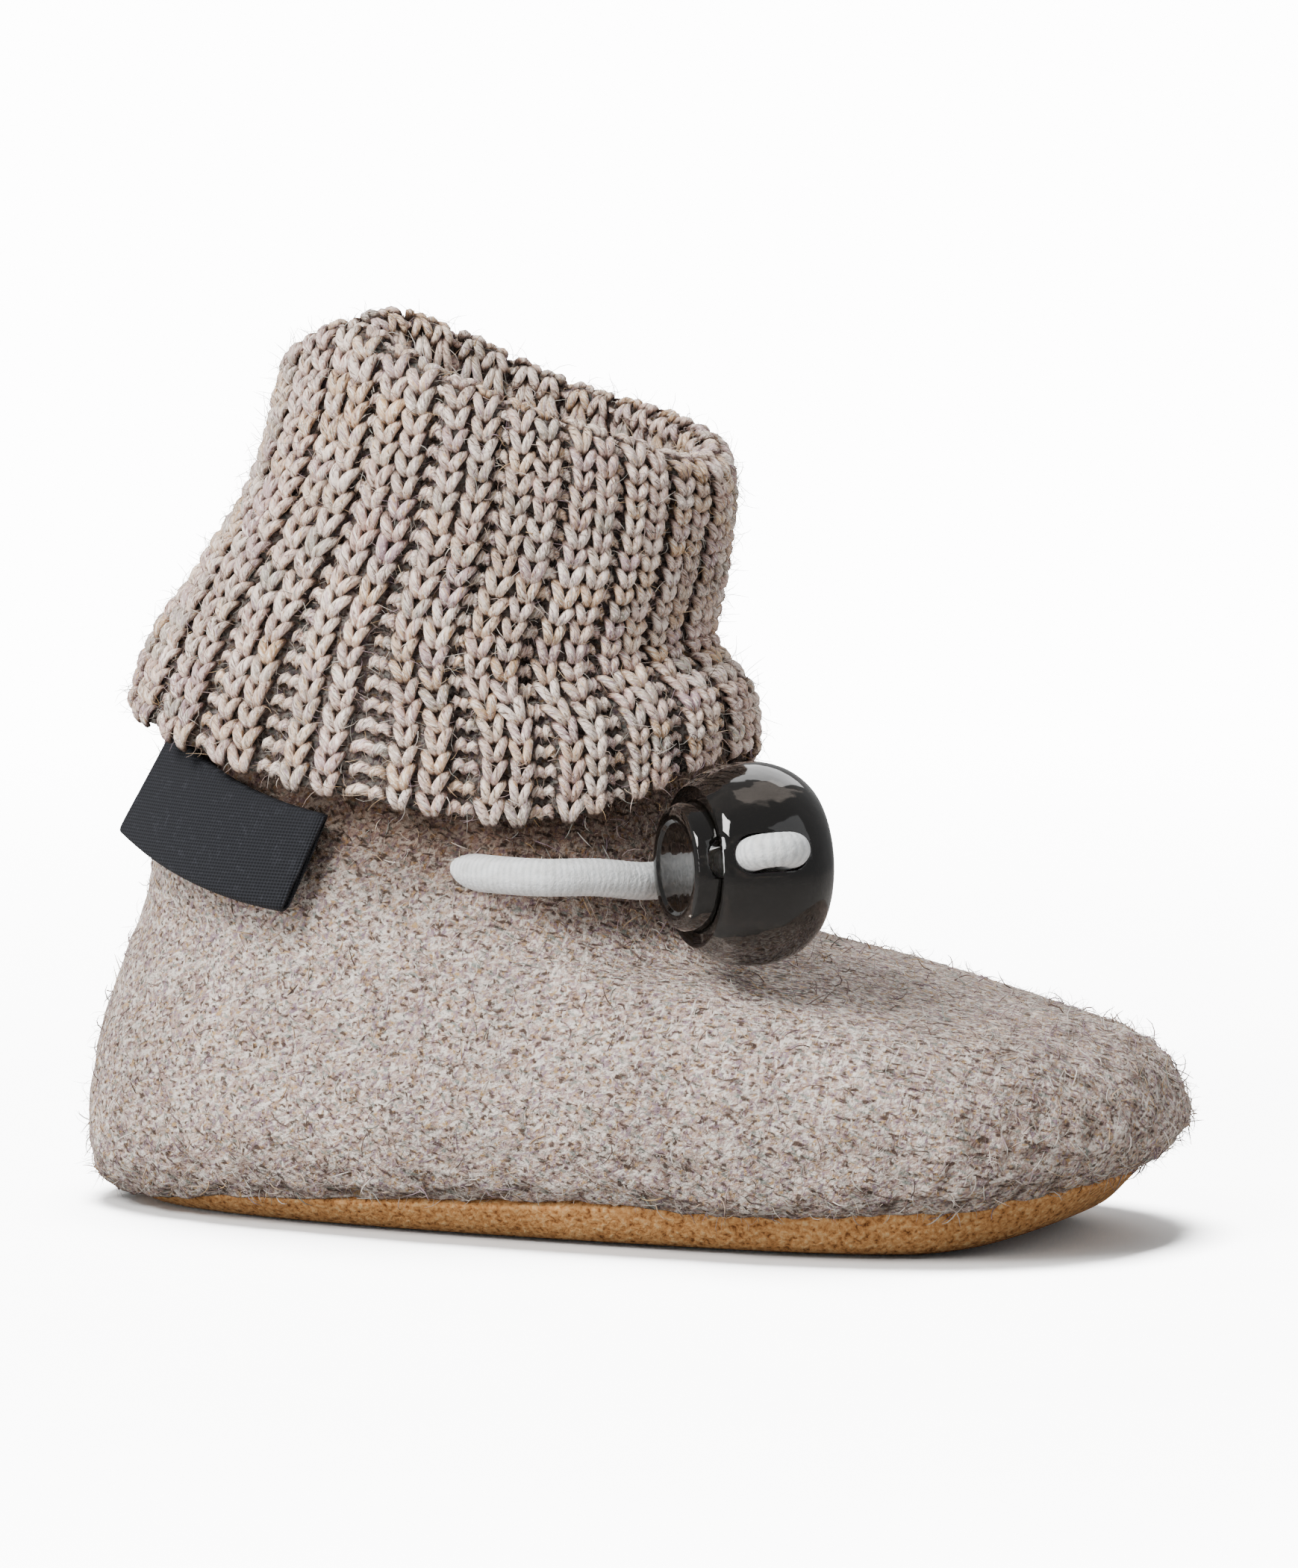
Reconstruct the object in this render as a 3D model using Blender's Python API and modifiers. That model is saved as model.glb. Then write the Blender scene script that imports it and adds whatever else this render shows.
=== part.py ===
"""Baby slipper of boiled wool with a folded rib-knit cuff, a suede sole and a cord lock.

It is the right one of a pair. The origin is on the ground at mid-length, +X points to the
toe, +Y to the wearer's left (the inner side of this foot) and +Z up. Lengths are in metres.
"""

import math
from dataclasses import dataclass

import bmesh
import bpy
from mathutils import Matrix, Vector

FULL_TURN = 2 * math.pi

# Driving sizes of the foot
SLIPPER_LENGTH = 0.120
BALL_WIDTH = 0.058
INSTEP_HEIGHT = 0.030
TOE_BEND = 0.0016
BALL_SHARE = 0.65
HEEL_FULLNESS = 0.7

# Driving sizes of the ankle
ANKLE_SETBACK = 0.0097
ANKLE_LENGTH = 0.0583
ANKLE_WIDTH = 0.044
COLLAR_BACK = 0.060
COLLAR_SIDE = 0.050
COLLAR_FRONT = 0.0565

# Walls and gaps
FELT = 0.0025
SUEDE = 0.0016
INSOLE_FELT = 0.0025
FIT_GAP = 0.0003
SEAM_GAP = 0.0007

# Sole
CURL_WIDTH = 0.0044
RIM_INSET = 0.0002
TOE_SPRING = 0.0058
SPRING_LENGTH = 0.0168

# Rib-knit cuff
RIM_BACK = 0.095
RIM_SIDE = 0.089
RIM_FRONT = 0.082
HEM_OVERLAP = 0.007
KNIT = 0.0012
INNER_KNIT = 0.0018
RIB_DEPTH = 0.0010
RIB_COUNT = 22
HEM_SQUARENESS = 2.3
RIM_SQUARENESS = 2.0
LAYER_GAP = 0.0020
FOLD_GAP = 0.0007

# Elastic cord and its lock
CORD_RADIUS = 0.0020
LOCK_FORWARD = 0.0116
LOCK_OUTWARD = 0.0192
LOCK_ABOVE_INSTEP = 0.0108
LOCK_RADIUS = 0.0106
LOCK_LENGTH = 0.0135
LOCK_HEADING = math.radians(44)
LOCK_TILT = math.radians(14)
STRAND_MIDDLE = -0.0005
STRAND_OFFSET = 0.0019
SQUEEZED_SHARE = 0.9
BUTTON_RADIUS = 0.0067
BUTTON_TRAVEL = 0.0018
BUTTON_STAND = 0.0021
BUTTON_EDGE = 0.0007
LOCK_WALL = 0.0010
MOUTH_WALL = 0.0009
BORE_END_SHARE = 0.72
SPRING_WIRE = 0.00025
SPRING_COILS = 2.5
SPRING_POINTS = 30
SPRING_WIDE = 0.76
SPRING_NARROW = 0.36

# Label
LABEL_WIDTH = 0.020
LABEL_DROP = 0.0105
LABEL_TUCK = 0.0005
LABEL_TAPE = 0.0004
LABEL_BOW = 0.0006
LABEL_STAND_OFF = 0.00083
LABEL_PLACE = math.radians(240)
LABEL_SLOPE = math.radians(14)
LABEL_FLARE = math.radians(12)
LABEL_BACK_FLARE = math.radians(24)
LABEL_STATIONS = 6
LABEL_ROW = 12
WALK_STEP = 0.01

COLUMNS = 52
HEEL_X = -SLIPPER_LENGTH / 2
TOE_X = SLIPPER_LENGTH / 2
ANKLE_BACK = HEEL_X + ANKLE_SETBACK
ANKLE_FRONT = ANKLE_BACK + ANKLE_LENGTH
ANKLE_CENTRE = (ANKLE_BACK + ANKLE_FRONT) / 2
BALL_X = HEEL_X + BALL_SHARE * SLIPPER_LENGTH
LOCK_CENTRE = Vector((ANKLE_FRONT + LOCK_FORWARD, -LOCK_OUTWARD,
                      INSTEP_HEIGHT + LOCK_ABOVE_INSTEP))

# Shares of the way up the sole's curled rim, from the flat underside to the seam
SOLE_RIM_SHARES = (0.0, 0.36, 0.72, 1.0)


@dataclass
class UpperRow:
    """One ring of the upper. front and back are shares of the way from the ankle out to the
    toe and the heel. A rise of 1 is the instep's height and 2 the collar's. width is the share
    from the ankle's width to the ball's, widest the share from the ankle's centre to the ball,
    dip the share of the collar's dip at the sides."""
    front: float
    front_rise: float
    back: float
    back_rise: float
    width: float
    widest: float
    dip: float
    squareness: float


UPPER_ROWS = [
    UpperRow(0.900, 0.250, 0.63, 0.085, 0.47, 1.00, 0.00, 2.4),
    UpperRow(0.960, 0.320, 0.90, 0.155, 0.80, 1.00, 0.00, 2.4),
    UpperRow(0.997, 0.430, 1.00, 0.317, 0.98, 1.00, 0.00, 2.4),
    UpperRow(0.990, 0.570, 0.97, 0.483, 1.00, 1.00, 0.00, 2.3),
    UpperRow(0.945, 0.705, 0.87, 0.650, 0.91, 0.97, 0.00, 2.2),
    UpperRow(0.845, 0.805, 0.73, 0.800, 0.75, 0.85, 0.00, 2.1),
    UpperRow(0.683, 0.870, 0.62, 0.917, 0.62, 0.68, 0.00, 2.0),
    UpperRow(0.490, 0.920, 0.53, 1.000, 0.52, 0.52, 0.02, 2.0),
    UpperRow(0.308, 0.955, 0.46, 1.083, 0.44, 0.38, 0.04, 2.0),
    UpperRow(0.163, 1.000, 0.40, 1.167, 0.36, 0.24, 0.08, 2.1),
    UpperRow(0.069, 1.132, 0.34, 1.267, 0.26, 0.10, 0.17, 2.2),
    UpperRow(0.027, 1.340, 0.28, 1.417, 0.17, 0.03, 0.32, 2.3),
    UpperRow(0.012, 1.566, 0.22, 1.600, 0.05, 0.00, 0.52, 2.3),
    UpperRow(0.004, 1.790, 0.14, 1.800, 0.01, 0.00, 0.76, 2.3),
    UpperRow(0.000, 2.000, 0.00, 2.000, 0.00, 0.00, 1.00, 2.3),
]


@dataclass
class CuffLevel:
    """One level of the cuff's outside, at a share of the way from hem to rim. front, back and
    side are shares of the ankle's half length and half width, before the cuff's stand-off."""
    share: float
    front: float
    back: float
    side: float


CUFF_LEVELS = [
    CuffLevel(0.00, 0.990, 1.051, 1.010),
    CuffLevel(0.20, 0.973, 0.955, 0.964),
    CuffLevel(0.36, 0.832, 0.811, 0.909),
    CuffLevel(0.60, 0.887, 0.605, 0.855),
    CuffLevel(0.85, 0.921, 0.503, 0.810),
    CuffLevel(1.00, 0.904, 0.468, 0.777),
]

# Rows around the cuff's wall. share runs from hem (0) to rim (1) on the outer layer and from
# the collar's edge (0) to the rim (1) on the inner one, layer says where in the two walls the
# row lies, and rib is the share of the rib depth that shows.
CUFF_ROWS = [
    ("outer", 0.00, "mid", 0.6),
    ("outer", 0.015, "face", 1.0),
    ("outer", 0.12, "face", 1.0),
    ("outer", 0.24, "face", 1.0),
    ("outer", 0.36, "face", 1.0),
    ("outer", 0.50, "face", 1.0),
    ("outer", 0.65, "face", 1.0),
    ("outer", 0.80, "face", 1.0),
    ("outer", 0.93, "face", 1.0),
    ("outer", 0.98, "shoulder", 1.0),
    ("outer", 1.00, "crest", 0.7),
    ("inner", 0.97, "throat_shoulder", 0.4),
    ("inner", 0.90, "throat", 0.2),
    ("inner", 0.60, "throat", 0.0),
    ("inner", 0.30, "throat", 0.0),
    ("seat", 0.00, "throat", 0.0),
    ("seat", 0.00, "inner_gap", 0.0),
    ("inner", 0.30, "inner_gap", 0.0),
    ("inner", 0.60, "inner_gap", 0.0),
    ("inner", 0.88, "inner_gap", 0.0),
    ("outer", 0.91, "outer_gap", 0.0),
    ("outer", 0.65, "outer_gap", 0.0),
    ("outer", 0.36, "outer_gap", 0.0),
    ("outer", 0.25, "outer_gap", 0.0),
    ("outer", 0.12, "outer_gap", 0.0),
    ("outer", 0.00, "outer_gap", 0.0),
]

# Elastic cord's centre line, as shares of the ankle: along and across from its centre, and up
# from the instep to the front of the collar.
CORD_NEAR_SIDE = [
    (-0.914, 0.000, 0.434), (-0.825, -0.400, 0.426), (-0.592, -0.673, 0.415),
    (-0.286, -0.791, 0.396), (0.022, -0.841, 0.377), (0.262, -0.927, 0.362),
    (0.468, -1.045, 0.355), (0.674, -1.041, 0.351), (0.849, -0.905, 0.340),
]
CORD_FAR_SIDE = [
    (1.141, -0.205, 0.328), (1.137, 0.045, 0.343), (1.099, 0.336, 0.351),
    (1.007, 0.627, 0.355), (0.849, 0.873, 0.355), (0.640, 1.027, 0.355),
    (0.434, 1.032, 0.355), (0.228, 0.918, 0.362), (-0.029, 0.832, 0.377),
    (-0.321, 0.782, 0.396), (-0.612, 0.655, 0.415), (-0.828, 0.386, 0.426),
]
# Through the lock it goes by shares of the lock's radius, along the button's axis and the slot.
CORD_IN_LOCK = [
    (-0.717, -1.038), (-0.491, -1.113), (-0.321, -1.104), (-0.236, -0.962), (-0.226, -0.660),
    (-0.226, 0.000), (-0.226, 0.708), (-0.231, 1.000), (-0.177, 1.130), (-0.047, 1.184),
    (0.083, 1.130), (0.137, 1.000), (0.132, 0.708), (0.132, 0.000), (0.132, -0.660),
    (0.123, -0.962), (0.160, -1.179),
]
SLOT_FIRST = 3
CORD_STEPS = 2

# First and last of the cord's points that the holes through the felt follow
NEAR_HOLE_POINTS = (3, 8)
FAR_HOLE_POINTS = (5, 10)

# Outside of the lock's body: share of its length from the mouth, share of its radius
LOCK_PROFILE = [
    (1.0, 0.52), (0.975, 0.66), (0.90, 0.80), (0.76, 0.93), (0.58, 1.0),
    (0.40, 1.0), (0.22, 0.955), (0.07, 0.875), (0.0, 0.80),
]


def clear_scene():
    for item in list(bpy.data.objects):
        bpy.data.objects.remove(item, do_unlink=True)


def new_collection(name):
    collection = bpy.data.collections.new(name)
    bpy.context.scene.collection.children.link(collection)
    return collection


def new_material(name, colour, roughness, metallic=0.0):
    material = bpy.data.materials.new(name)
    material.use_nodes = True
    shader = material.node_tree.nodes["Principled BSDF"]
    shader.inputs["Base Color"].default_value = (*colour, 1.0)
    shader.inputs["Roughness"].default_value = roughness
    shader.inputs["Metallic"].default_value = metallic
    material.diffuse_color = (*colour, 1.0)
    return material


def add_object(name, mesh, collection, material):
    item = bpy.data.objects.new(name, mesh)
    item.data.materials.append(material)
    collection.objects.link(item)
    return item


def shade_smooth(item, angle=40):
    item.data.shade_smooth()
    item.data.set_sharp_from_angle(angle=math.radians(angle))


def mesh_of_rings(rings, close_loop=False):
    """A mesh of quads between rings of points, each ring closed on itself, and its rings."""
    mesh = bmesh.new()
    rows = [[mesh.verts.new(point) for point in ring] for ring in rings]
    pairs = list(zip(rows, rows[1:]))
    if close_loop:
        pairs.append((rows[-1], rows[0]))
    for low, high in pairs:
        count = len(low)
        for j in range(count):
            k = (j + 1) % count
            mesh.faces.new((low[j], low[k], high[k], high[j]))
    return mesh, rows


def fill_across(mesh, ring):
    """Closes a ring with strips from one side to the other, as a sole is."""
    half = len(ring) // 2
    for j in range(half):
        right = [ring[-j % len(ring)], ring[-(j + 1) % len(ring)]]
        corners = [ring[j], ring[j + 1], right[1], right[0]]
        mesh.faces.new(list(dict.fromkeys(corners)))


def finish_mesh(mesh, name):
    bmesh.ops.recalc_face_normals(mesh, faces=mesh.faces)
    data = bpy.data.meshes.new(name)
    mesh.to_mesh(data)
    mesh.free()
    return data


def mesh_from(item, name):
    """The evaluated mesh of an object, welded, in place of the object."""
    bpy.context.view_layer.update()
    evaluated = item.evaluated_get(bpy.context.evaluated_depsgraph_get())
    data = bpy.data.meshes.new_from_object(evaluated)
    data.name = name
    data.transform(item.matrix_world)
    welded = bmesh.new()
    welded.from_mesh(data)
    bmesh.ops.remove_doubles(welded, verts=welded.verts, dist=1e-6)
    bmesh.ops.recalc_face_normals(welded, faces=welded.faces)
    welded.to_mesh(data)
    welded.free()
    bpy.data.objects.remove(item, do_unlink=True)
    return data


def cut(item, cutter):
    modifier = item.modifiers.new("cut " + cutter.name, "BOOLEAN")
    modifier.operation = "DIFFERENCE"
    modifier.solver = "EXACT"
    modifier.object = cutter


def hide_cutter(item):
    item.hide_render = True
    item.display_type = "WIRE"


def mix(low, high, share):
    return low + (high - low) * share


def signed_power(value, power):
    return math.copysign(abs(value) ** power, value)


def three_way(turn, back, side, front):
    """A height that goes from front to side to back as the turn goes from 0 to half."""
    along = math.cos(turn)
    if along > 0:
        return mix(side, front, along ** 2.6)
    return mix(side, back, along ** 2)


def collar_height(turn):
    return three_way(turn, COLLAR_BACK, COLLAR_SIDE, COLLAR_FRONT)


def hem_height(turn):
    return collar_height(turn) - HEM_OVERLAP


def toe_bend(x):
    """Sideways bend of the foot, which leans the toe to its inner side."""
    share = min(max(x / TOE_X, 0.0), 1.0)
    return TOE_BEND * share * share


def rise_height(rise, collar):
    if rise <= 1:
        return rise * INSTEP_HEIGHT
    return mix(INSTEP_HEIGHT, collar, rise - 1)


def upper_point(row, turn):
    """A point of the upper's outside. Turn 0 is the toe, a quarter the inner side."""
    front = mix(ANKLE_FRONT, TOE_X, row.front)
    back = mix(ANKLE_BACK, HEEL_X, row.back)
    widest = mix(ANKLE_CENTRE, BALL_X, row.widest)
    half_width = mix(ANKLE_WIDTH, BALL_WIDTH, row.width) / 2
    behind = max(-math.cos(turn), 0.0)
    power = 2 / (row.squareness + HEEL_FULLNESS * row.widest * behind)
    along = signed_power(math.cos(turn), power)
    across = signed_power(math.sin(turn), power)
    reach = front - widest if along > 0 else widest - back
    x = widest + along * reach
    low = rise_height(row.back_rise, COLLAR_BACK)
    high = rise_height(row.front_rise, COLLAR_FRONT)
    share = (x - back) / (front - back)
    full_dip = mix(COLLAR_BACK, COLLAR_FRONT, share) - collar_height(turn)
    z = mix(low, high, share) - row.dip * full_dip
    return Vector((x, half_width * across + toe_bend(x), z))


def turns(count):
    return [FULL_TURN * j / count for j in range(count)]


def inset_ring(ring, distance):
    """A ring moved inwards in plan by a distance, square to itself."""
    moved = []
    for j, point in enumerate(ring):
        ahead = ring[(j + 1) % len(ring)] - ring[j - 1]
        inward = Vector((-ahead.y, ahead.x, 0)).normalized()
        moved.append(point + inward * distance)
    return moved


def spring_height(x):
    """How far the sole's underside lifts off the ground towards the toe."""
    end = sole_front()
    share = max((x - (end - SPRING_LENGTH)) / SPRING_LENGTH, 0.0)
    return TOE_SPRING * share * share


def spring_slope(x):
    end = sole_front()
    share = max((x - (end - SPRING_LENGTH)) / SPRING_LENGTH, 0.0)
    return math.atan(2 * TOE_SPRING * share / SPRING_LENGTH)


def sole_front():
    return upper_point(UPPER_ROWS[0], 0.0).x


def lifted(point, lift):
    """A plan point stood off the sole's underside by a lift, square to it."""
    slope = spring_slope(point.x)
    height = spring_height(point.x) + lift * math.cos(slope)
    return Vector((point.x - lift * math.sin(slope), point.y, height))


def make_outsole(collection):
    seam = [upper_point(UPPER_ROWS[0], turn) for turn in turns(COLUMNS)]
    rings = []
    for share in SOLE_RIM_SHARES:
        distance = mix(CURL_WIDTH, RIM_INSET, share)
        ring = inset_ring(seam, distance)
        for point, edge in zip(ring, seam):
            ground = spring_height(point.x)
            point.z = mix(ground, edge.z - SEAM_GAP, share * share)
        rings.append(ring)
    mesh, rows = mesh_of_rings(rings)
    fill_across(mesh, rows[0])
    suede = new_material("suede", (0.45, 0.22, 0.09), 0.9)
    outsole = add_object("outsole", finish_mesh(mesh, "outsole"), collection, suede)
    face_out(outsole)
    add_wall(outsole, SUEDE)
    shade_smooth(outsole)
    return outsole


def face_out(item):
    """Turns an open surface so that its faces look away from the foot."""
    middle = Vector((ANKLE_CENTRE, 0, INSTEP_HEIGHT / 2))
    shell = bmesh.new()
    shell.from_mesh(item.data)
    outward = sum((face.calc_center_median() - middle).dot(face.normal) for face in shell.faces)
    if outward < 0:
        bmesh.ops.reverse_faces(shell, faces=shell.faces)
    shell.to_mesh(item.data)
    shell.free()


def add_wall(item, thickness):
    """Gives an open surface its wall, on the inner side."""
    wall = item.modifiers.new("wall", "SOLIDIFY")
    wall.thickness = thickness
    wall.offset = -1
    wall.use_even_offset = True
    wall.use_quality_normals = True


def make_insole(collection):
    seam = [upper_point(UPPER_ROWS[0], turn) for turn in turns(COLUMNS)]
    outline = inset_ring(seam, CURL_WIDTH + FIT_GAP)
    low = SUEDE + FIT_GAP
    bottom = [lifted(point, low) for point in outline]
    top = [lifted(point, low + INSOLE_FELT) for point in outline]
    mesh, rows = mesh_of_rings([bottom, top])
    fill_across(mesh, rows[0])
    fill_across(mesh, rows[1])
    wool = new_material("insole wool", (0.30, 0.26, 0.23), 0.95)
    insole = add_object("insole", finish_mesh(mesh, "insole"), collection, wool)
    shade_smooth(insole)
    return insole


def make_upper(collection, cutters):
    rings = [[upper_point(row, turn) for turn in turns(COLUMNS)] for row in UPPER_ROWS]
    mesh = mesh_of_rings(rings)[0]
    felt = new_material("boiled wool", (0.42, 0.36, 0.32), 0.95)
    upper = add_object("upper", finish_mesh(mesh, "upper"), collection, felt)
    face_out(upper)
    add_wall(upper, FELT)
    path = cord_path()[0]
    far_start = len(CORD_NEAR_SIDE) + len(CORD_IN_LOCK)
    holes = (("near", 0, NEAR_HOLE_POINTS), ("far", far_start, FAR_HOLE_POINTS))
    for side, start, points in holes:
        first = (start + points[0]) * CORD_STEPS
        last = (start + points[1]) * CORD_STEPS
        cut(upper, make_hole_cutter(side, path[first:last], cutters))
    shade_smooth(upper, 60)
    return upper


def make_hole_cutter(side, path, cutters):
    """A tube along the cord where it passes through the felt."""
    radii = [1.0] * len(path)
    curve = tube_curve("hole " + side, path, CORD_RADIUS + FIT_GAP, radii, False)
    cutters.objects.link(curve)
    data = mesh_from(curve, "hole " + side)
    cutter = bpy.data.objects.new("hole " + side, data)
    cutters.objects.link(cutter)
    hide_cutter(cutter)
    return cutter


def smooth_path(points, steps, closed=False):
    """Points along a smooth curve through the given ones."""
    count = len(points)
    path = []
    last = count if closed else count - 1
    for i in range(last):
        if closed:
            before, start, end, after = (points[(i + k - 1) % count] for k in range(4))
        else:
            before = points[max(i - 1, 0)]
            start = points[i]
            end = points[i + 1]
            after = points[min(i + 2, count - 1)]
        for step in range(steps):
            t = step / steps
            path.append(hermite(before, start, end, after, t))
    if not closed:
        path.append(points[-1].copy())
    return path


def hermite(before, start, end, after, t):
    """A point between start and end, with each end's slope from its two neighbours."""
    leave = (end - before) * 0.5
    arrive = (after - start) * 0.5
    t2 = t * t
    t3 = t2 * t
    return (start * (2 * t3 - 3 * t2 + 1) + leave * (t3 - 2 * t2 + t)
            + end * (3 * t2 - 2 * t3) + arrive * (t3 - t2))


def tube_curve(name, points, radius, radii, closed):
    """A tube along the points, with a share of its radius at each of them."""
    data = bpy.data.curves.new(name, "CURVE")
    data.dimensions = "3D"
    data.bevel_depth = radius
    data.bevel_resolution = 2
    data.use_fill_caps = not closed
    spline = data.splines.new("POLY")
    spline.points.add(len(points) - 1)
    for slot, point in zip(spline.points, points):
        slot.co = (*point, 1.0)
    for slot, share in zip(spline.points, radii):
        slot.radius = share
    spline.use_cyclic_u = closed
    return bpy.data.objects.new(name, data)


def cuff_level(share):
    """The cuff's front, back and side shares at a share of its height, by a smooth curve."""
    levels = CUFF_LEVELS
    share = min(max(share, 0.0), 1.0)
    i = 0
    while i < len(levels) - 2 and share > levels[i + 1].share:
        i += 1
    t = (share - levels[i].share) / (levels[i + 1].share - levels[i].share)
    around = [levels[max(i - 1, 0)], levels[i], levels[i + 1], levels[min(i + 2, len(levels) - 1)]]
    values = [Vector((level.front, level.back, level.side)) for level in around]
    return hermite(*values, t)


def cuff_wall_depth(layer, share):
    """How far a row of the cuff lies inside its outer face."""
    outer_wall = KNIT + RIB_DEPTH
    gap = mix(LAYER_GAP, FOLD_GAP, max(share, 0.0) ** 2)
    whole = outer_wall + gap + INNER_KNIT
    depths = {
        "face": 0.0,
        "mid": outer_wall / 2,
        "shoulder": whole * 0.16,
        "crest": whole * 0.5,
        "throat_shoulder": whole * 0.86,
        "throat": whole,
        "inner_gap": outer_wall + gap,
        "outer_gap": outer_wall,
    }
    return depths[layer]


def rib_share(column):
    """Ribs two stitches wide and hollows two stitches wide, four columns to each pair."""
    return (0.0, 0.0, 1.0, 1.0)[column % 4]


def cuff_point(row, column, turn):
    part, share, layer, rib = row
    hem = hem_height(turn)
    rim = three_way(turn, RIM_BACK, RIM_SIDE, RIM_FRONT)
    start = hem if part == "outer" else collar_height(turn) + FIT_GAP
    z = mix(start, rim, share)
    height_share = (z - hem) / (rim - hem)
    front, back, side = cuff_level(height_share)
    stand_off = KNIT + RIB_DEPTH + LAYER_GAP
    depth = cuff_wall_depth(layer, height_share) + rib * RIB_DEPTH * rib_share(column)
    half_length = ANKLE_LENGTH / 2 * (front + back) / 2 + stand_off - depth
    half_width = ANKLE_WIDTH / 2 * side + stand_off - depth
    centre = ANKLE_CENTRE + ANKLE_LENGTH / 2 * (front - back) / 2
    power = 2 / mix(HEM_SQUARENESS, RIM_SQUARENESS, height_share)
    x = centre + half_length * signed_power(math.cos(turn), power)
    y = half_width * signed_power(math.sin(turn), power)
    if layer == "crest":
        z -= RIB_DEPTH * rib_share(column) / 2
    return Vector((x, y, z))


def seat_ring(columns, layer):
    """The inner layer's lower edge, which sits on the middle of the felt's edge."""
    collar = [upper_point(UPPER_ROWS[-1], turn) for turn in columns]
    distance = (FELT - INNER_KNIT) / 2
    if layer == "throat":
        distance += INNER_KNIT
    return [point + Vector((0, 0, FIT_GAP)) for point in inset_ring(collar, distance)]


def cuff_ring(row, columns):
    if row[0] == "seat":
        return seat_ring(columns, row[2])
    return [cuff_point(row, j, turn) for j, turn in enumerate(columns)]


def make_cuff(collection):
    columns = turns(4 * RIB_COUNT)
    rings = [cuff_ring(row, columns) for row in CUFF_ROWS]
    mesh = mesh_of_rings(rings, close_loop=True)[0]
    knit = new_material("rib knit", (0.38, 0.32, 0.28), 0.95)
    cuff = add_object("cuff", finish_mesh(mesh, "cuff"), collection, knit)
    shade_smooth(cuff, 60)
    return cuff


def lock_matrix():
    """The lock's own frame: X is the way its button is pressed, Z leaves its slot's face."""
    press = Vector((math.cos(LOCK_HEADING), math.sin(LOCK_HEADING), 0))
    face = Vector((math.sin(LOCK_HEADING) * math.cos(LOCK_TILT),
                   -math.cos(LOCK_HEADING) * math.cos(LOCK_TILT), math.sin(LOCK_TILT)))
    up = face.cross(press)
    turn = Matrix((press, up, face)).transposed().to_4x4()
    return Matrix.Translation(LOCK_CENTRE) @ turn


def ankle_place(along, across, rise):
    """A place given by shares of the ankle's half length, half width and front height."""
    return Vector((ANKLE_CENTRE + along * ANKLE_LENGTH / 2, across * ANKLE_WIDTH / 2,
                   mix(INSTEP_HEIGHT, COLLAR_FRONT, rise)))


def cord_path():
    """The cord's centre line and, at each of its points, the share of its full radius."""
    place = lock_matrix()
    near = [ankle_place(*point) for point in CORD_NEAR_SIDE]
    far = [ankle_place(*point) for point in CORD_FAR_SIDE]
    inside = [place @ (Vector((x, 0, z)) * LOCK_RADIUS) for x, z in CORD_IN_LOCK]
    squeezed = [SQUEEZED_SHARE] * (len(inside) - SLOT_FIRST - 1)
    shares = [1.0] * (len(near) + SLOT_FIRST) + squeezed + [1.0] * (len(far) + 1)
    path = smooth_path(near + inside + far, CORD_STEPS, closed=True)
    radii = []
    for i, share in enumerate(shares):
        following = shares[(i + 1) % len(shares)]
        radii += [share, min(share, following)]
    return path, radii


def make_cord(collection):
    path, radii = cord_path()
    curve = tube_curve("elastic_cord", path, CORD_RADIUS, radii, True)
    elastic = new_material("elastic", (0.72, 0.73, 0.70), 0.8)
    collection.objects.link(curve)
    data = mesh_from(curve, "elastic_cord")
    cord = add_object("elastic_cord", data, collection, elastic)
    shade_smooth(cord, 60)
    return cord


def turned(name, profile, steps=32):
    """A solid turned about X. The profile runs from axis to axis, as X and radius."""
    mesh = bmesh.new()
    corners = [mesh.verts.new((x, 0, radius)) for x, radius in profile]
    for start, end in zip(corners, corners[1:]):
        mesh.edges.new((start, end))
    data = bpy.data.meshes.new(name)
    mesh.to_mesh(data)
    mesh.free()
    item = bpy.data.objects.new(name, data)
    bpy.context.scene.collection.objects.link(item)
    screw = item.modifiers.new("turn", "SCREW")
    screw.axis = "X"
    screw.steps = steps
    screw.render_steps = steps
    screw.use_merge_vertices = True
    screw.merge_threshold = 1e-6
    return mesh_from(item, name)


def slot_cutter(name, start, end, half_height, cutters):
    """An oblong with round ends along X, which cuts right through along Z."""
    data = bpy.data.curves.new(name, "CURVE")
    data.dimensions = "2D"
    data.fill_mode = "BOTH"
    data.extrude = 2 * LOCK_RADIUS
    outline = []
    for k in range(9):
        angle = math.pi * k / 8 - math.pi / 2
        outline.append((end - half_height + half_height * math.cos(angle),
                        half_height * math.sin(angle)))
    for k in range(9):
        angle = math.pi * k / 8 + math.pi / 2
        outline.append((start + half_height + half_height * math.cos(angle),
                        half_height * math.sin(angle)))
    add_outline(data, outline)
    curve = bpy.data.objects.new(name, data)
    cutters.objects.link(curve)
    cutter = bpy.data.objects.new(name, mesh_from(curve, name))
    cutters.objects.link(cutter)
    hide_cutter(cutter)
    return cutter


def add_outline(data, outline):
    spline = data.splines.new("POLY")
    spline.points.add(len(outline) - 1)
    for slot, (x, y) in zip(spline.points, outline):
        slot.co = (x, y, 0, 1)
    spline.use_cyclic_u = True


@dataclass
class LockSizes:
    """Places along the lock's axis, worked out from the cord, the walls and the travel."""
    slot_start: float
    slot_end: float
    slot_half_height: float
    mouth: float
    far_end: float
    bore_end: float
    button_face: float
    button_end: float


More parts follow.
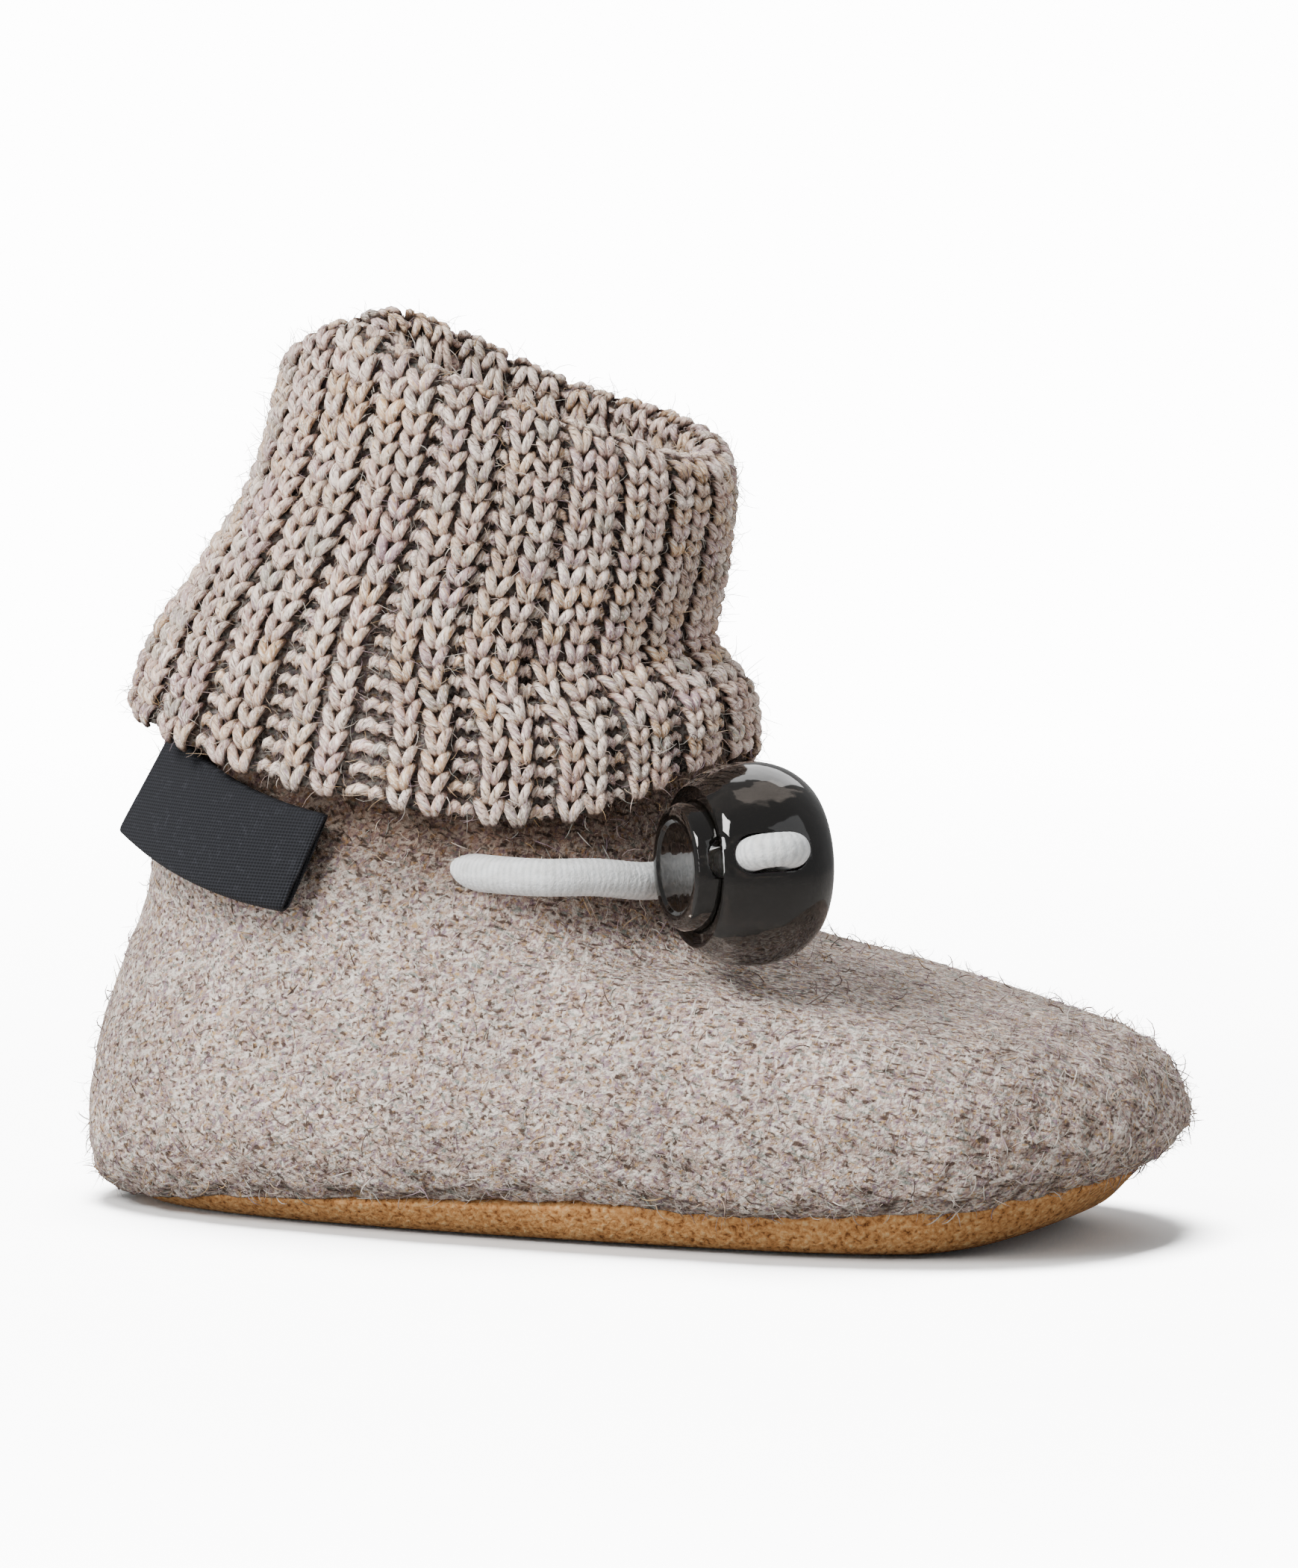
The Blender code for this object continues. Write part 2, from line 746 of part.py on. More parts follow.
def lock_sizes():
    squeezed = CORD_RADIUS * SQUEEZED_SHARE
    half_slot = STRAND_OFFSET + squeezed + FIT_GAP
    mouth = STRAND_MIDDLE - half_slot - MOUTH_WALL
    far_end = mouth + LOCK_LENGTH
    return LockSizes(
        slot_start=STRAND_MIDDLE - half_slot,
        slot_end=STRAND_MIDDLE + half_slot,
        slot_half_height=squeezed + FIT_GAP,
        mouth=mouth,
        far_end=far_end,
        bore_end=far_end - LOCK_WALL,
        button_face=mouth - BUTTON_STAND,
        button_end=STRAND_MIDDLE + half_slot + LOCK_WALL,
    )


def make_lock(collection, cutters):
    sizes = lock_sizes()
    smoke = new_material("smoke plastic", (0.06, 0.055, 0.05), 0.12)
    frame = bpy.data.objects.new("lock_frame", None)
    frame.matrix_world = lock_matrix()
    collection.objects.link(frame)
    body = make_lock_body(sizes, smoke, collection, cutters)
    button = make_lock_plunger(sizes, smoke, collection, cutters)
    spring = make_lock_spring(sizes, collection)
    bpy.context.view_layer.update()
    for item in (body, button, spring):
        item.parent = frame
    for cutter in cutters.objects:
        if cutter.name.startswith("slot"):
            cutter.parent = frame


def make_lock_body(sizes, smoke, collection, cutters):
    bore = BUTTON_RADIUS + FIT_GAP
    profile = [(sizes.far_end, 0.0)]
    for share, radius in LOCK_PROFILE:
        profile.append((sizes.mouth + share * LOCK_LENGTH, radius * LOCK_RADIUS))
    neck = sizes.bore_end - LOCK_WALL / 2
    profile += [(sizes.mouth, bore), (neck, bore), (sizes.bore_end, bore * BORE_END_SHARE),
                (sizes.bore_end, 0.0)]
    body = add_object("lock_body", turned("lock_body", profile), collection, smoke)
    cut(body, slot_cutter("slot body", sizes.slot_start, sizes.slot_end,
                          sizes.slot_half_height, cutters))
    shade_smooth(body, 25)
    return body


def make_lock_plunger(sizes, smoke, collection, cutters):
    face = sizes.button_face
    profile = [
        (face, 0.0), (face, BUTTON_RADIUS - 2 * BUTTON_EDGE),
        (face + BUTTON_EDGE * 0.3, BUTTON_RADIUS - BUTTON_EDGE),
        (face + BUTTON_EDGE * 1.2, BUTTON_RADIUS),
        (sizes.button_end, BUTTON_RADIUS), (sizes.button_end, 0.0),
    ]
    button = add_object("lock_plunger", turned("lock_plunger", profile), collection, smoke)
    cut(button, slot_cutter("slot button", sizes.slot_start - BUTTON_TRAVEL, sizes.slot_end,
                            sizes.slot_half_height, cutters))
    shade_smooth(button, 25)
    return button


def make_lock_spring(sizes, collection):
    """A conical spring between the button's end and the bore's end."""
    start = sizes.button_end + FIT_GAP + SPRING_WIRE
    end = sizes.bore_end - FIT_GAP - SPRING_WIRE
    points = []
    for k in range(SPRING_POINTS + 1):
        share = k / SPRING_POINTS
        angle = FULL_TURN * SPRING_COILS * share
        radius = mix(SPRING_WIDE, SPRING_NARROW, share) * BUTTON_RADIUS
        x = mix(start, end, share)
        points.append(Vector((x, radius * math.cos(angle), radius * math.sin(angle))))
    curve = tube_curve("lock_spring", points, SPRING_WIRE, [1.0] * len(points), False)
    collection.objects.link(curve)
    steel = new_material("spring steel", (0.6, 0.6, 0.6), 0.3, 1.0)
    return add_object("lock_spring", mesh_from(curve, "lock_spring"), collection, steel)


def label_place(distance):
    """Where a station of the label stands on the felt, at a distance along the hem."""
    row = UPPER_ROWS[LABEL_ROW]
    turn = LABEL_PLACE
    step = math.copysign(WALK_STEP, distance)
    walked = 0.0
    while walked < abs(distance):
        here = upper_point(row, turn)
        there = upper_point(row, turn + step)
        walked += (there - here).xy.length
        turn += step
    point = upper_point(row, turn)
    along = (upper_point(row, turn + 0.05) - upper_point(row, turn - 0.05)).xy.normalized()
    outward = Vector((along.y, -along.x, 0))
    return Vector((point.x, point.y, hem_height(turn))), along.to_3d(), outward


def label_section(distance, outline):
    """The loop's section at a station: outline points are outwards from the felt and down."""
    base, along, outward = label_place(distance)
    lean = math.tan(LABEL_SLOPE)
    to_back = 0.5 - distance / LABEL_WIDTH
    flare = math.tan(mix(LABEL_FLARE, LABEL_BACK_FLARE, to_back))
    points = []
    for out, down in outline:
        below_hem = max(down - LABEL_TUCK, 0.0)
        stand_off = LABEL_STAND_OFF + out + flare * below_hem
        drop = Vector((0, 0, LABEL_TUCK - down))
        points.append(base + outward * stand_off - along * lean * below_hem + drop)
    return points


def loop_outline(height, top, bulge, start):
    """Half widths of a folded tape: narrow at the top, round at the fold."""
    outline = [(-top, start), (-mix(top, bulge, 0.7), start + 0.5 * height)]
    for k in range(7):
        angle = math.pi * k / 6
        outline.append((-bulge * math.cos(angle), start + height - bulge + bulge * math.sin(angle)))
    outline += [(mix(top, bulge, 0.7), start + 0.5 * height), (top, start)]
    return outline


def make_label(collection):
    """A tape folded into a loop, open at both sides, which hangs from under the hem."""
    height = LABEL_DROP + LABEL_TUCK
    outer = loop_outline(height, LABEL_TAPE + FIT_GAP / 2, LABEL_BOW + LABEL_TAPE, 0.0)
    inner = loop_outline(height - 2 * LABEL_TAPE, FIT_GAP / 2, LABEL_BOW, LABEL_TAPE)
    stations = [LABEL_WIDTH * (k / LABEL_STATIONS - 0.5) for k in range(LABEL_STATIONS + 1)]
    rings = [label_section(station, outer) for station in stations]
    rings += [label_section(station, inner) for station in reversed(stations)]
    mesh = mesh_of_rings(rings, close_loop=True)[0]
    tape = new_material("woven tape", (0.02, 0.021, 0.024), 0.8)
    label = add_object("loop_label", finish_mesh(mesh, "loop_label"), collection, tape)
    shade_smooth(label)
    return label


def build():
    clear_scene()
    parts = new_collection("baby slipper")
    cutters = new_collection("cutters")
    make_outsole(parts)
    make_insole(parts)
    make_upper(parts, cutters)
    make_cuff(parts)
    make_cord(parts)
    make_lock(parts, cutters)
    make_label(parts)


build()
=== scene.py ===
"""Looks of the baby slipper: boiled wool, a rib-knit cuff, suede, an elastic and its lock."""

import logging
import math
from collections.abc import Iterator
from contextlib import contextmanager
from dataclasses import dataclass, field
from enum import Enum
from functools import cached_property

import bmesh
import bpy
import numpy as np
from bpy.types import Collection, ID, Material, Mesh, Node, NodeSocket, NodeTree, Object
from mathutils import Matrix, Vector, noise


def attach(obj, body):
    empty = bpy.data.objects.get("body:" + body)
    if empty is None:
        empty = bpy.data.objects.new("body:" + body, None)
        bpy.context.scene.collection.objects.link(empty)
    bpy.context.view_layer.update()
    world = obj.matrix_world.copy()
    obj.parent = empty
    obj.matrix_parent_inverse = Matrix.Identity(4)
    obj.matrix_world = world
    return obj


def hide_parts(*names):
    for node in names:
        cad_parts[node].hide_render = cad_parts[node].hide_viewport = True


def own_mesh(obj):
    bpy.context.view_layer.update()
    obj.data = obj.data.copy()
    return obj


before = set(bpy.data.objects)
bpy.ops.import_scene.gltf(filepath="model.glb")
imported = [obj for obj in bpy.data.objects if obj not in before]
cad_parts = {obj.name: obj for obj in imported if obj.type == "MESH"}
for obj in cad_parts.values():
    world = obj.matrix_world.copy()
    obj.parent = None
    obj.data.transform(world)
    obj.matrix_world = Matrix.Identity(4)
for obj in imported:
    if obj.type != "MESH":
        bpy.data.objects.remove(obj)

LOG = logging.getLogger("baby slipper")
MM = 0.001
FULL_TURN = 2 * math.pi
SLIPPER = "slipper"
BUTTON = "button"
FLOOR_CLEARANCE = 0.0002
Values = float | np.ndarray


class Kind(Enum):
    """What a Geometry Nodes input holds."""

    GEOMETRY = "NodeSocketGeometry"
    NUMBER = "NodeSocketFloat"
    COUNT = "NodeSocketInt"
    PIECES = "NodeSocketCollection"
    SHAPE = "NodeSocketObject"
    MATERIAL = "NodeSocketMaterial"


def mix(low: Values, high: Values, share: Values) -> Values:
    """A value the given share of the way from low to high."""
    return low + (high - low) * share


def grey(tone: float) -> tuple:
    """A colour without a hue."""
    return (tone,) * 3


def smooth_step(low: float, high: float, value: Values) -> Values:
    """A soft step.

    Args:
        low: where it leaves 0.
        high: where it reaches 1.
        value: the places asked for.

    Returns:
        Shares from 0 to 1.
    """
    share = np.clip((value - low) / (high - low), 0.0, 1.0)
    return share * share * (3 - 2 * share)


def signed_power(value: np.ndarray, power: np.ndarray) -> np.ndarray:
    """A power that keeps the sign of its base."""
    return np.sign(value) * np.abs(value) ** power


def hermite(before: Values, start: Values, end: Values, after: Values, t: Values) -> Values:
    """A value between start and end, with each end's slope from its two neighbours.

    Args:
        before, start, end, after: four values in a row.
        t: share of the way from start to end.

    Returns:
        The value at t.
    """
    leave = (end - before) * 0.5
    arrive = (after - start) * 0.5
    square = t * t
    cube = square * t
    return (start * (2 * cube - 3 * square + 1) + leave * (cube - 2 * square + t)
            + end * (3 * square - 2 * cube) + arrive * (cube - square))


def unit(vectors: np.ndarray) -> np.ndarray:
    """Vectors scaled to a length of one."""
    return vectors / np.maximum(np.linalg.norm(vectors, axis=-1, keepdims=True), 1e-12)


def lumps(points: np.ndarray, period: float, seed: float) -> np.ndarray:
    """Smooth noise at points.

    Args:
        points: places in metres, any shape ending in 3.
        period: size of one lump in metres.
        seed: shifts the pattern.

    Returns:
        Values from about -1 to 1.
    """
    flat = points.reshape(-1, 3) / period + seed
    values = np.array([noise.noise(Vector(place)) for place in flat])
    return values.reshape(points.shape[:-1])


@contextmanager
def reworked(mesh: Mesh) -> Iterator[bmesh.types.BMesh]:
    """Opens a mesh for editing and writes it back at the end.

    Args:
        mesh: the mesh.

    Yields:
        Its editable copy.
    """
    work = bmesh.new()
    work.from_mesh(mesh)
    yield work
    work.to_mesh(mesh)
    work.free()


def store(mesh: Mesh, name: str, values: np.ndarray, kind: str = "FLOAT") -> None:
    """Stores a value with each point of a mesh.

    Args:
        mesh: the mesh.
        name: the attribute's name.
        values: the numbers or vectors.
        kind: Blender's type of attribute.
    """
    layer = mesh.attributes.new(name, kind, "POINT")
    key = "vector" if kind == "FLOAT_VECTOR" else "value"
    layer.data.foreach_set(key, values.ravel().astype(np.float32))


def read_points(mesh: Mesh) -> np.ndarray:
    """The places of a mesh's points.

    Args:
        mesh: the mesh.

    Returns:
        Points x 3.
    """
    places = np.empty(len(mesh.vertices) * 3, np.float32)
    mesh.vertices.foreach_get("co", places)
    return places.reshape(-1, 3)


def write_points(mesh: Mesh, places: np.ndarray) -> None:
    """Moves a mesh's points to new places."""
    mesh.vertices.foreach_set("co", places.ravel())


def grid_mesh(name: str, grid: np.ndarray, close_rows: bool = False) -> Mesh:
    """A mesh of quads from rings of points, each closed on itself.

    Args:
        name: the mesh's name.
        grid: rings x columns x 3.
        close_rows: joins the last ring to the first.

    Returns:
        The mesh, facing outwards, with a UV map of column and ring shares.
    """
    rows, columns = grid.shape[:2]
    last = rows if close_rows else rows - 1
    low, column = np.meshgrid(np.arange(last), np.arange(columns), indexing="ij")
    high = (low + 1) % rows
    following = (column + 1) % columns
    corners = np.stack([low * columns + column, low * columns + following,
                        high * columns + following, high * columns + column], axis=-1)
    mesh = bpy.data.meshes.new(name)
    mesh.from_pydata(grid.reshape(-1, 3).tolist(), [], corners.reshape(-1, 4).tolist())
    across = np.stack([column, column + 1, column + 1, column], axis=-1) / columns
    along = np.stack([low, low, low + 1, low + 1], axis=-1) / max(last, 1)
    layer = mesh.uv_layers.new(name="UVMap")
    layer.data.foreach_set("uv", np.stack([across, along], axis=-1).ravel().astype(np.float32))
    face_outwards(mesh)
    return mesh


def face_outwards(mesh: Mesh) -> None:
    """Turns the faces of a mesh outwards and shades them smooth.

    Args:
        mesh: the mesh.
    """
    with reworked(mesh) as work:
        bmesh.ops.recalc_face_normals(work, faces=work.faces)
    mesh.shade_smooth()


def add_object(name: str, data: ID) -> Object:
    """Puts an object in the scene.

    Args:
        name: its name.
        data: its mesh, lamp or camera.

    Returns:
        The new object.
    """
    made = bpy.data.objects.new(name, data)
    bpy.context.scene.collection.objects.link(made)
    return made


def add_piece(name: str, mesh: Mesh, material: Material) -> Object:
    """Puts a mesh in the scene as a piece with one material.

    Args:
        name: the piece's name.
        mesh: its mesh, in the slipper's frame.
        material: its finish.

    Returns:
        The new object.
    """
    mesh.materials.clear()
    mesh.materials.append(material)
    return add_object(name, mesh)


def settle(piece: Object) -> Object:
    """Applies every modifier of a piece.

    Args:
        piece: the object with its live modifiers.

    Returns:
        The same object with a plain mesh.
    """
    bpy.context.view_layer.update()
    evaluated = piece.evaluated_get(bpy.context.evaluated_depsgraph_get())
    mesh = bpy.data.meshes.new_from_object(evaluated)
    piece.modifiers.clear()
    piece.data = mesh
    return piece


def tube_mesh(name: str, path: np.ndarray, radii: np.ndarray, sides: int,
              closed: bool = False) -> Mesh:
    """A tube along a path.

    Args:
        name: the mesh's name.
        path: points x 3.
        radii: one radius for each point, or points x sides.
        sides: faces around.
        closed: whether the path meets its own start.

    Returns:
        The mesh, with closed ends where the path has ends.
    """
    count = len(path)
    if closed:
        ahead = np.roll(path, -1, axis=0) - np.roll(path, 1, axis=0)
    else:
        ahead = np.gradient(path, axis=0)
    ahead = unit(ahead)
    across = np.zeros_like(path)
    guide = np.array([0.0, 0.0, 1.0])
    if abs(ahead[0] @ guide) > 0.9:
        guide = np.array([0.0, 1.0, 0.0])
    for i in range(count):
        guide = guide - (guide @ ahead[i]) * ahead[i]
        guide = guide / np.linalg.norm(guide)
        across[i] = guide
    if closed:
        drift = across[-1] - (across[-1] @ ahead[0]) * ahead[0]
        twist = math.atan2(np.cross(across[0], drift) @ ahead[0], across[0] @ drift)
        angles = -twist * np.arange(count) / count
        side = np.cross(ahead, across)
        across = across * np.cos(angles)[:, None] + side * np.sin(angles)[:, None]
    beside = np.cross(ahead, across)
    turn = FULL_TURN * np.arange(sides) / sides
    radii = np.broadcast_to(radii.reshape(count, -1), (count, sides))
    ring = (across[:, None, :] * np.cos(turn)[None, :, None]
            + beside[:, None, :] * np.sin(turn)[None, :, None])
    grid = path[:, None, :] + ring * radii[:, :, None]
    mesh = grid_mesh(name, grid, close_rows=closed)
    if closed:
        return mesh
    with reworked(mesh) as work:
        work.verts.ensure_lookup_table()
        ends = [[work.verts[start + k] for k in range(sides)]
                for start in (0, (count - 1) * sides)]
        for ring_verts in ends:
            tip = work.verts.new(sum((vert.co for vert in ring_verts), Vector()) / sides)
            for k in range(sides):
                work.faces.new((ring_verts[k], ring_verts[(k + 1) % sides], tip))
    face_outwards(mesh)
    return mesh


@dataclass(frozen=True)
class NodeBench:
    """Short ways to add and join nodes in one tree."""

    tree: NodeTree

    def add(self, kind: str, **settings: object) -> Node:
        """Adds a node and sets its properties.

        Args:
            kind: Blender's node type.
            settings: property names and values.

        Returns:
            The node.
        """
        node = self.tree.nodes.new(kind)
        for key, value in settings.items():
            setattr(node, key, value)
        return node

    def join(self, source: NodeSocket, target: NodeSocket) -> None:
        """Links an output to an input."""
        self.tree.links.new(source, target)

    def value(self, node: Node, key: object, value: object) -> None:
        """Gives an input of a node a value or the output that drives it.

        Args:
            node: the node.
            key: the input's name or number.
            value: the value or the output.
        """
        if isinstance(value, NodeSocket):
            self.join(value, node.inputs[key])
        else:
            node.inputs[key].default_value = value

    def values(self, node: Node, settings: dict) -> None:
        """Sets several inputs of a node."""
        for key, value in settings.items():
            self.value(node, key, value)

    def plain(self, colour: tuple) -> NodeSocket:
        """One colour all over.

        Args:
            colour: the linear colour.

        Returns:
            The colour socket.
        """
        node = self.add("ShaderNodeRGB")
        node.outputs[0].default_value = (*colour, 1.0)
        return node.outputs[0]

    def stored(self, name: str) -> NodeSocket:
        """A number stored with the mesh."""
        return self.add("ShaderNodeAttribute", attribute_name=name).outputs["Fac"]

    def cloth_axes(self) -> list:
        """The UV map's two directions.

        Returns:
            Their sockets.
        """
        split = self.add("ShaderNodeSeparateXYZ")
        self.join(self.add("ShaderNodeUVMap", uv_map="UVMap").outputs["UV"], split.inputs[0])
        return split.outputs[:2]

    def zigzag(self, source: NodeSocket) -> NodeSocket:
        """A wave that rises and falls evenly, once for each step of one.

        Args:
            source: the place along it.

        Returns:
            The wave's socket.
        """
        node = self.add("ShaderNodeMath", operation="PINGPONG")
        self.join(source, node.inputs[0])
        self.value(node, 1, 0.5)
        return node.outputs[0]

    def noise(self, place: NodeSocket, period: float, detail: float = 2.0,
              roughness: float = 0.5, distortion: float = 0.0) -> NodeSocket:
        """Noise of a given period in metres.

        Args:
            place: the coordinates.
            period: size of one spot.
            detail: finer octaves.
            roughness: their strength.
            distortion: how far the spots are drawn out.

        Returns:
            The noise's value socket.
        """
        node = self.add("ShaderNodeTexNoise")
        self.join(place, node.inputs["Vector"])
        self.values(node, {"Scale": 1.0 / period, "Detail": detail, "Roughness": roughness,
                           "Distortion": distortion})
        return node.outputs["Fac"]

    def streaks(self, place: NodeSocket, period: float, lay: tuple,
                stretch: float = 3.2) -> NodeSocket:
        """Noise drawn out to short fibres that all lie one way.

        Args:
            place: the coordinates.
            period: size of a fibre across.
            lay: the fibres' direction, as angles in radians.
            stretch: how many times as long as wide.

        Returns:
            The noise's value socket.
        """
        node = self.add("ShaderNodeMapping", vector_type="TEXTURE")
        self.join(place, node.inputs["Vector"])
        self.value(node, "Rotation", lay)
        self.value(node, "Scale", (1.0, 1.0, stretch))
        return self.noise(node.outputs[0], period, 1.5, 0.5, 0.5)

    def ramp(self, factor: NodeSocket, stops: list) -> NodeSocket:
        """A colour ramp.

        Args:
            factor: its input.
            stops: pairs of place and linear colour.

        Returns:
            The colour socket.
        """
        node = self.add("ShaderNodeValToRGB")
        steps = node.color_ramp.elements
        while len(steps) < len(stops):
            steps.new(0.5)
        for step, (place, colour) in zip(steps, stops):
            step.position = place
            step.color = (*colour, 1.0)
        self.join(factor, node.inputs["Fac"])
        return node.outputs["Color"]

    def blend(self, low: NodeSocket, high: NodeSocket, factor: object,
              mode: str = "MIX") -> NodeSocket:
        """Two colours blended.

        Args:
            low: the first colour.
            high: the second.
            factor: a number or a socket.
            mode: Blender's blend type.

        Returns:
            The colour socket.
        """
        node = self.add("ShaderNodeMix", data_type="RGBA", blend_type=mode)
        self.join(low, node.inputs[6])
        self.join(high, node.inputs[7])
        self.value(node, 0, factor)
        return node.outputs[2]

    def sum(self, terms: list) -> NodeSocket:
        """Heights added up.

        Args:
            terms: pairs of socket and weight.

        Returns:
            The weighted sum.
        """
        total = 0.0
        for socket, weight in terms:
            scaled = self.add("ShaderNodeMath", operation="MULTIPLY_ADD")
            self.values(scaled, {0: socket, 1: weight, 2: total})
            total = scaled.outputs[0]
        return total

    def multiply(self, colour: NodeSocket, shade: NodeSocket) -> NodeSocket:
        """A colour times a shade."""
        return self.blend(colour, shade, 1.0, "MULTIPLY")

    def bump(self, height: NodeSocket, depth: float) -> NodeSocket:
        """A bump of a given depth in metres.

        Args:
            height: the height socket, about 0 to 1.
            depth: how deep a full step is.

        Returns:
            The normal socket.
        """
        node = self.add("ShaderNodeBump")
        self.values(node, {"Strength": 1.0, "Distance": depth})
        self.join(height, node.inputs["Height"])
        return node.outputs["Normal"]


def shader_tree(name: str) -> tuple:
    """A new material.

    Args:
        name: its name.

    Returns:
        The material, its bench, its shader and its Object coordinates.
    """
    material = bpy.data.materials.new(name)
    material.use_nodes = True
    bench = NodeBench(material.node_tree)
    shader = material.node_tree.nodes["Principled BSDF"]
    place = bench.add("ShaderNodeTexCoord").outputs["Object"]
    return material, bench, shader, place


WOOL_DARK = (0.085, 0.055, 0.042)
WOOL_TAUPE = (0.235, 0.160, 0.135)
WOOL_ROSE = (0.530, 0.370, 0.330)
WOOL_LIGHT = (0.650, 0.515, 0.435)
WOOL_PALE = (0.910, 0.835, 0.765)
WOOL_LILAC = (0.330, 0.235, 0.290)
WOOL_OCHRE = (0.540, 0.350, 0.165)
WOOL_SLATE = (0.270, 0.300, 0.270)

# The drift of colours under the fibres, and the tones of a strand and of a hair by its tint
DRIFT = [(0.36, WOOL_TAUPE), (0.46, WOOL_ROSE), (0.54, WOOL_LIGHT), (0.62, WOOL_ROSE),
         (0.70, WOOL_TAUPE)]
STRAND_TONES = [(0.0, WOOL_LILAC), (0.18, WOOL_LIGHT), (0.34, WOOL_ROSE), (0.52, WOOL_PALE),
                (0.68, WOOL_OCHRE), (0.82, WOOL_LIGHT), (1.0, WOOL_SLATE)]
HAIR_TONES = [(0.0, WOOL_DARK), (0.14, WOOL_TAUPE), (0.28, WOOL_LILAC), (0.44, WOOL_LIGHT),
              (0.58, WOOL_OCHRE), (0.70, WOOL_PALE), (0.84, WOOL_SLATE), (1.0, WOOL_PALE)]

# The fibres of the melange: colour, how they lie and where their noise sets in
MELANGE = [
    (WOOL_LILAC, (0.2, 0.4, 0.3), 0.50),
    (WOOL_OCHRE, (0.9, -0.9, 1.1), 0.54),
    (WOOL_PALE, (-0.3, 1.2, -0.5), 0.50),
    (WOOL_SLATE, (0.5, 2.1, 0.8), 0.56),
    (WOOL_DARK, (1.3, -0.3, -1.0), 0.52),
    (WOOL_PALE, (0.1, 0.9, 1.7), 0.56),
]


@dataclass(frozen=True)
class MelangeWool:
    """Wool of mixed fibres, pressed to felt or spun to yarn."""

    name: str
    fibre: float = 0.00046
    relief: float = 0.00035
    sheen: float = 0.10
    shade: float = 1.0
    cover: float = 0.94
    # Ramp over the stored relief that multiplies the colour: painted shade in hollows and, for the
    # yarn, painted highlight on crests
    painted_light_ramp: tuple = ()
    spun: bool = False
    strand_fibre: float = 0.16
    strand_sparse: float = 0.035
    strand_own: float = 0.72

    def colour(self, bench: NodeBench, place: NodeSocket) -> NodeSocket:
        """Fibres of several colours over a drift of rose and taupe.

        Args:
            bench: the material's bench.
            place: Object coordinates.

        Returns:
            The colour socket.
        """
        mixed = bench.ramp(bench.noise(place, self.fibre * 3.4, 3.0, 0.6, 1.2), DRIFT)
        lay, fibre, sparse = place, self.fibre, 0.0
        if self.spun:
            own = bench.ramp(bench.stored("tint"), STRAND_TONES)
            mixed = bench.blend(mixed, own, self.strand_own)
            lay = self.strand_place(bench)
            fibre, sparse = self.strand_fibre, self.strand_sparse
        for number, (colour, way, begin) in enumerate(MELANGE):
            start = begin + sparse
            turned = (0.0, 0.15 * number, 0.0) if self.spun else way
            mask = bench.ramp(bench.streaks(lay, fibre, turned),
                              [(start, grey(0.0)), (start + 0.14, grey(self.cover))])
            mixed = bench.blend(mixed, bench.plain(colour), mask)
        cloud = bench.noise(place, 0.009, 2.0, 0.5)
        light = bench.ramp(cloud, [(0.3, grey(0.80 * self.shade)), (0.7, grey(1.12 * self.shade))])
        return bench.multiply(mixed, light)

    def make(self) -> Material:
        """Builds the material.

        Returns:
            The finished material.
        """
        material, bench, shader, place = shader_tree(self.name)
        colour = self.colour(bench, place)
        heights = [(bench.noise(place, self.fibre * 0.8, 2.0, 0.7, 0.6), 0.8),
                   (bench.noise(place, self.fibre * 3.0, 2.0, 0.6, 0.8), 1.0)]
        # Painted shade, and for the yarn painted highlight, multiplied into the colour from the
        # stored relief
        if self.painted_light_ramp:
            colour = bench.multiply(colour, bench.ramp(bench.stored("relief"), self.painted_light_ramp))
        if self.spun:
            heights.append((self.ply_wave(bench), 1.3))
        bench.join(colour, shader.inputs["Base Color"])
        bench.join(bench.bump(bench.sum(heights), self.relief), shader.inputs["Normal"])
        bench.values(shader, {"Roughness": 0.92, "Specular IOR Level": 0.12,
                              "Sheen Weight": self.sheen, "Sheen Roughness": 0.55,
                              "Sheen Tint": (0.80, 0.70, 0.62, 1.0)})
        return material

    def strand_place(self, bench: NodeBench) -> NodeSocket:
        """Coordinates that run with the twisted fibres of each strand.

        Args:
            bench: the material's bench.

        Returns:
            The vector socket.
        """
        around, along = bench.cloth_axes()
        angle = bench.sum([(around, FULL_TURN), (along, 0.55 * FULL_TURN)])
        tint = bench.stored("tint")
        place = bench.add("ShaderNodeCombineXYZ")
        for key, operation in ((0, "COSINE"), (1, "SINE")):
            wave = bench.add("ShaderNodeMath", operation=operation)
            bench.join(angle, wave.inputs[0])
            bench.join(bench.sum([(wave.outputs[0], 0.35), (tint, 31.0)]), place.inputs[key])
        bench.join(bench.sum([(along, 1.9), (tint, 57.0)]), place.inputs[2])
        return place.outputs[0]

    def ply_wave(self, bench: NodeBench) -> NodeSocket:
        """The twist of a yarn's plies, read from each strand's own UV map.

        Args:
            bench: the material's bench.

        Returns:
            A height socket from 0 to 1.
        """
        around, along = bench.cloth_axes()
        return bench.zigzag(bench.sum([(around, 2.0), (along, 2.6)]))


@dataclass(frozen=True)
class LooseFibre:
    """Single wool hairs, each with its own tone."""

    name: str = "wool hairs"

    def make(self) -> Material:
        """Builds the material.

        Returns:
            The finished material.
        """
        material, bench, shader, place = shader_tree(self.name)
        tone = bench.ramp(bench.stored("tint"), HAIR_TONES)
        streaks = bench.noise(place, 0.0009, 1.0)
        shade = bench.ramp(streaks, [(0.3, grey(0.75)), (0.7, grey(1.1))])
        bench.join(bench.multiply(tone, shade), shader.inputs["Base Color"])
        bench.values(shader, {"Roughness": 0.75, "Specular IOR Level": 0.2, "Sheen Weight": 0.05})
        return material


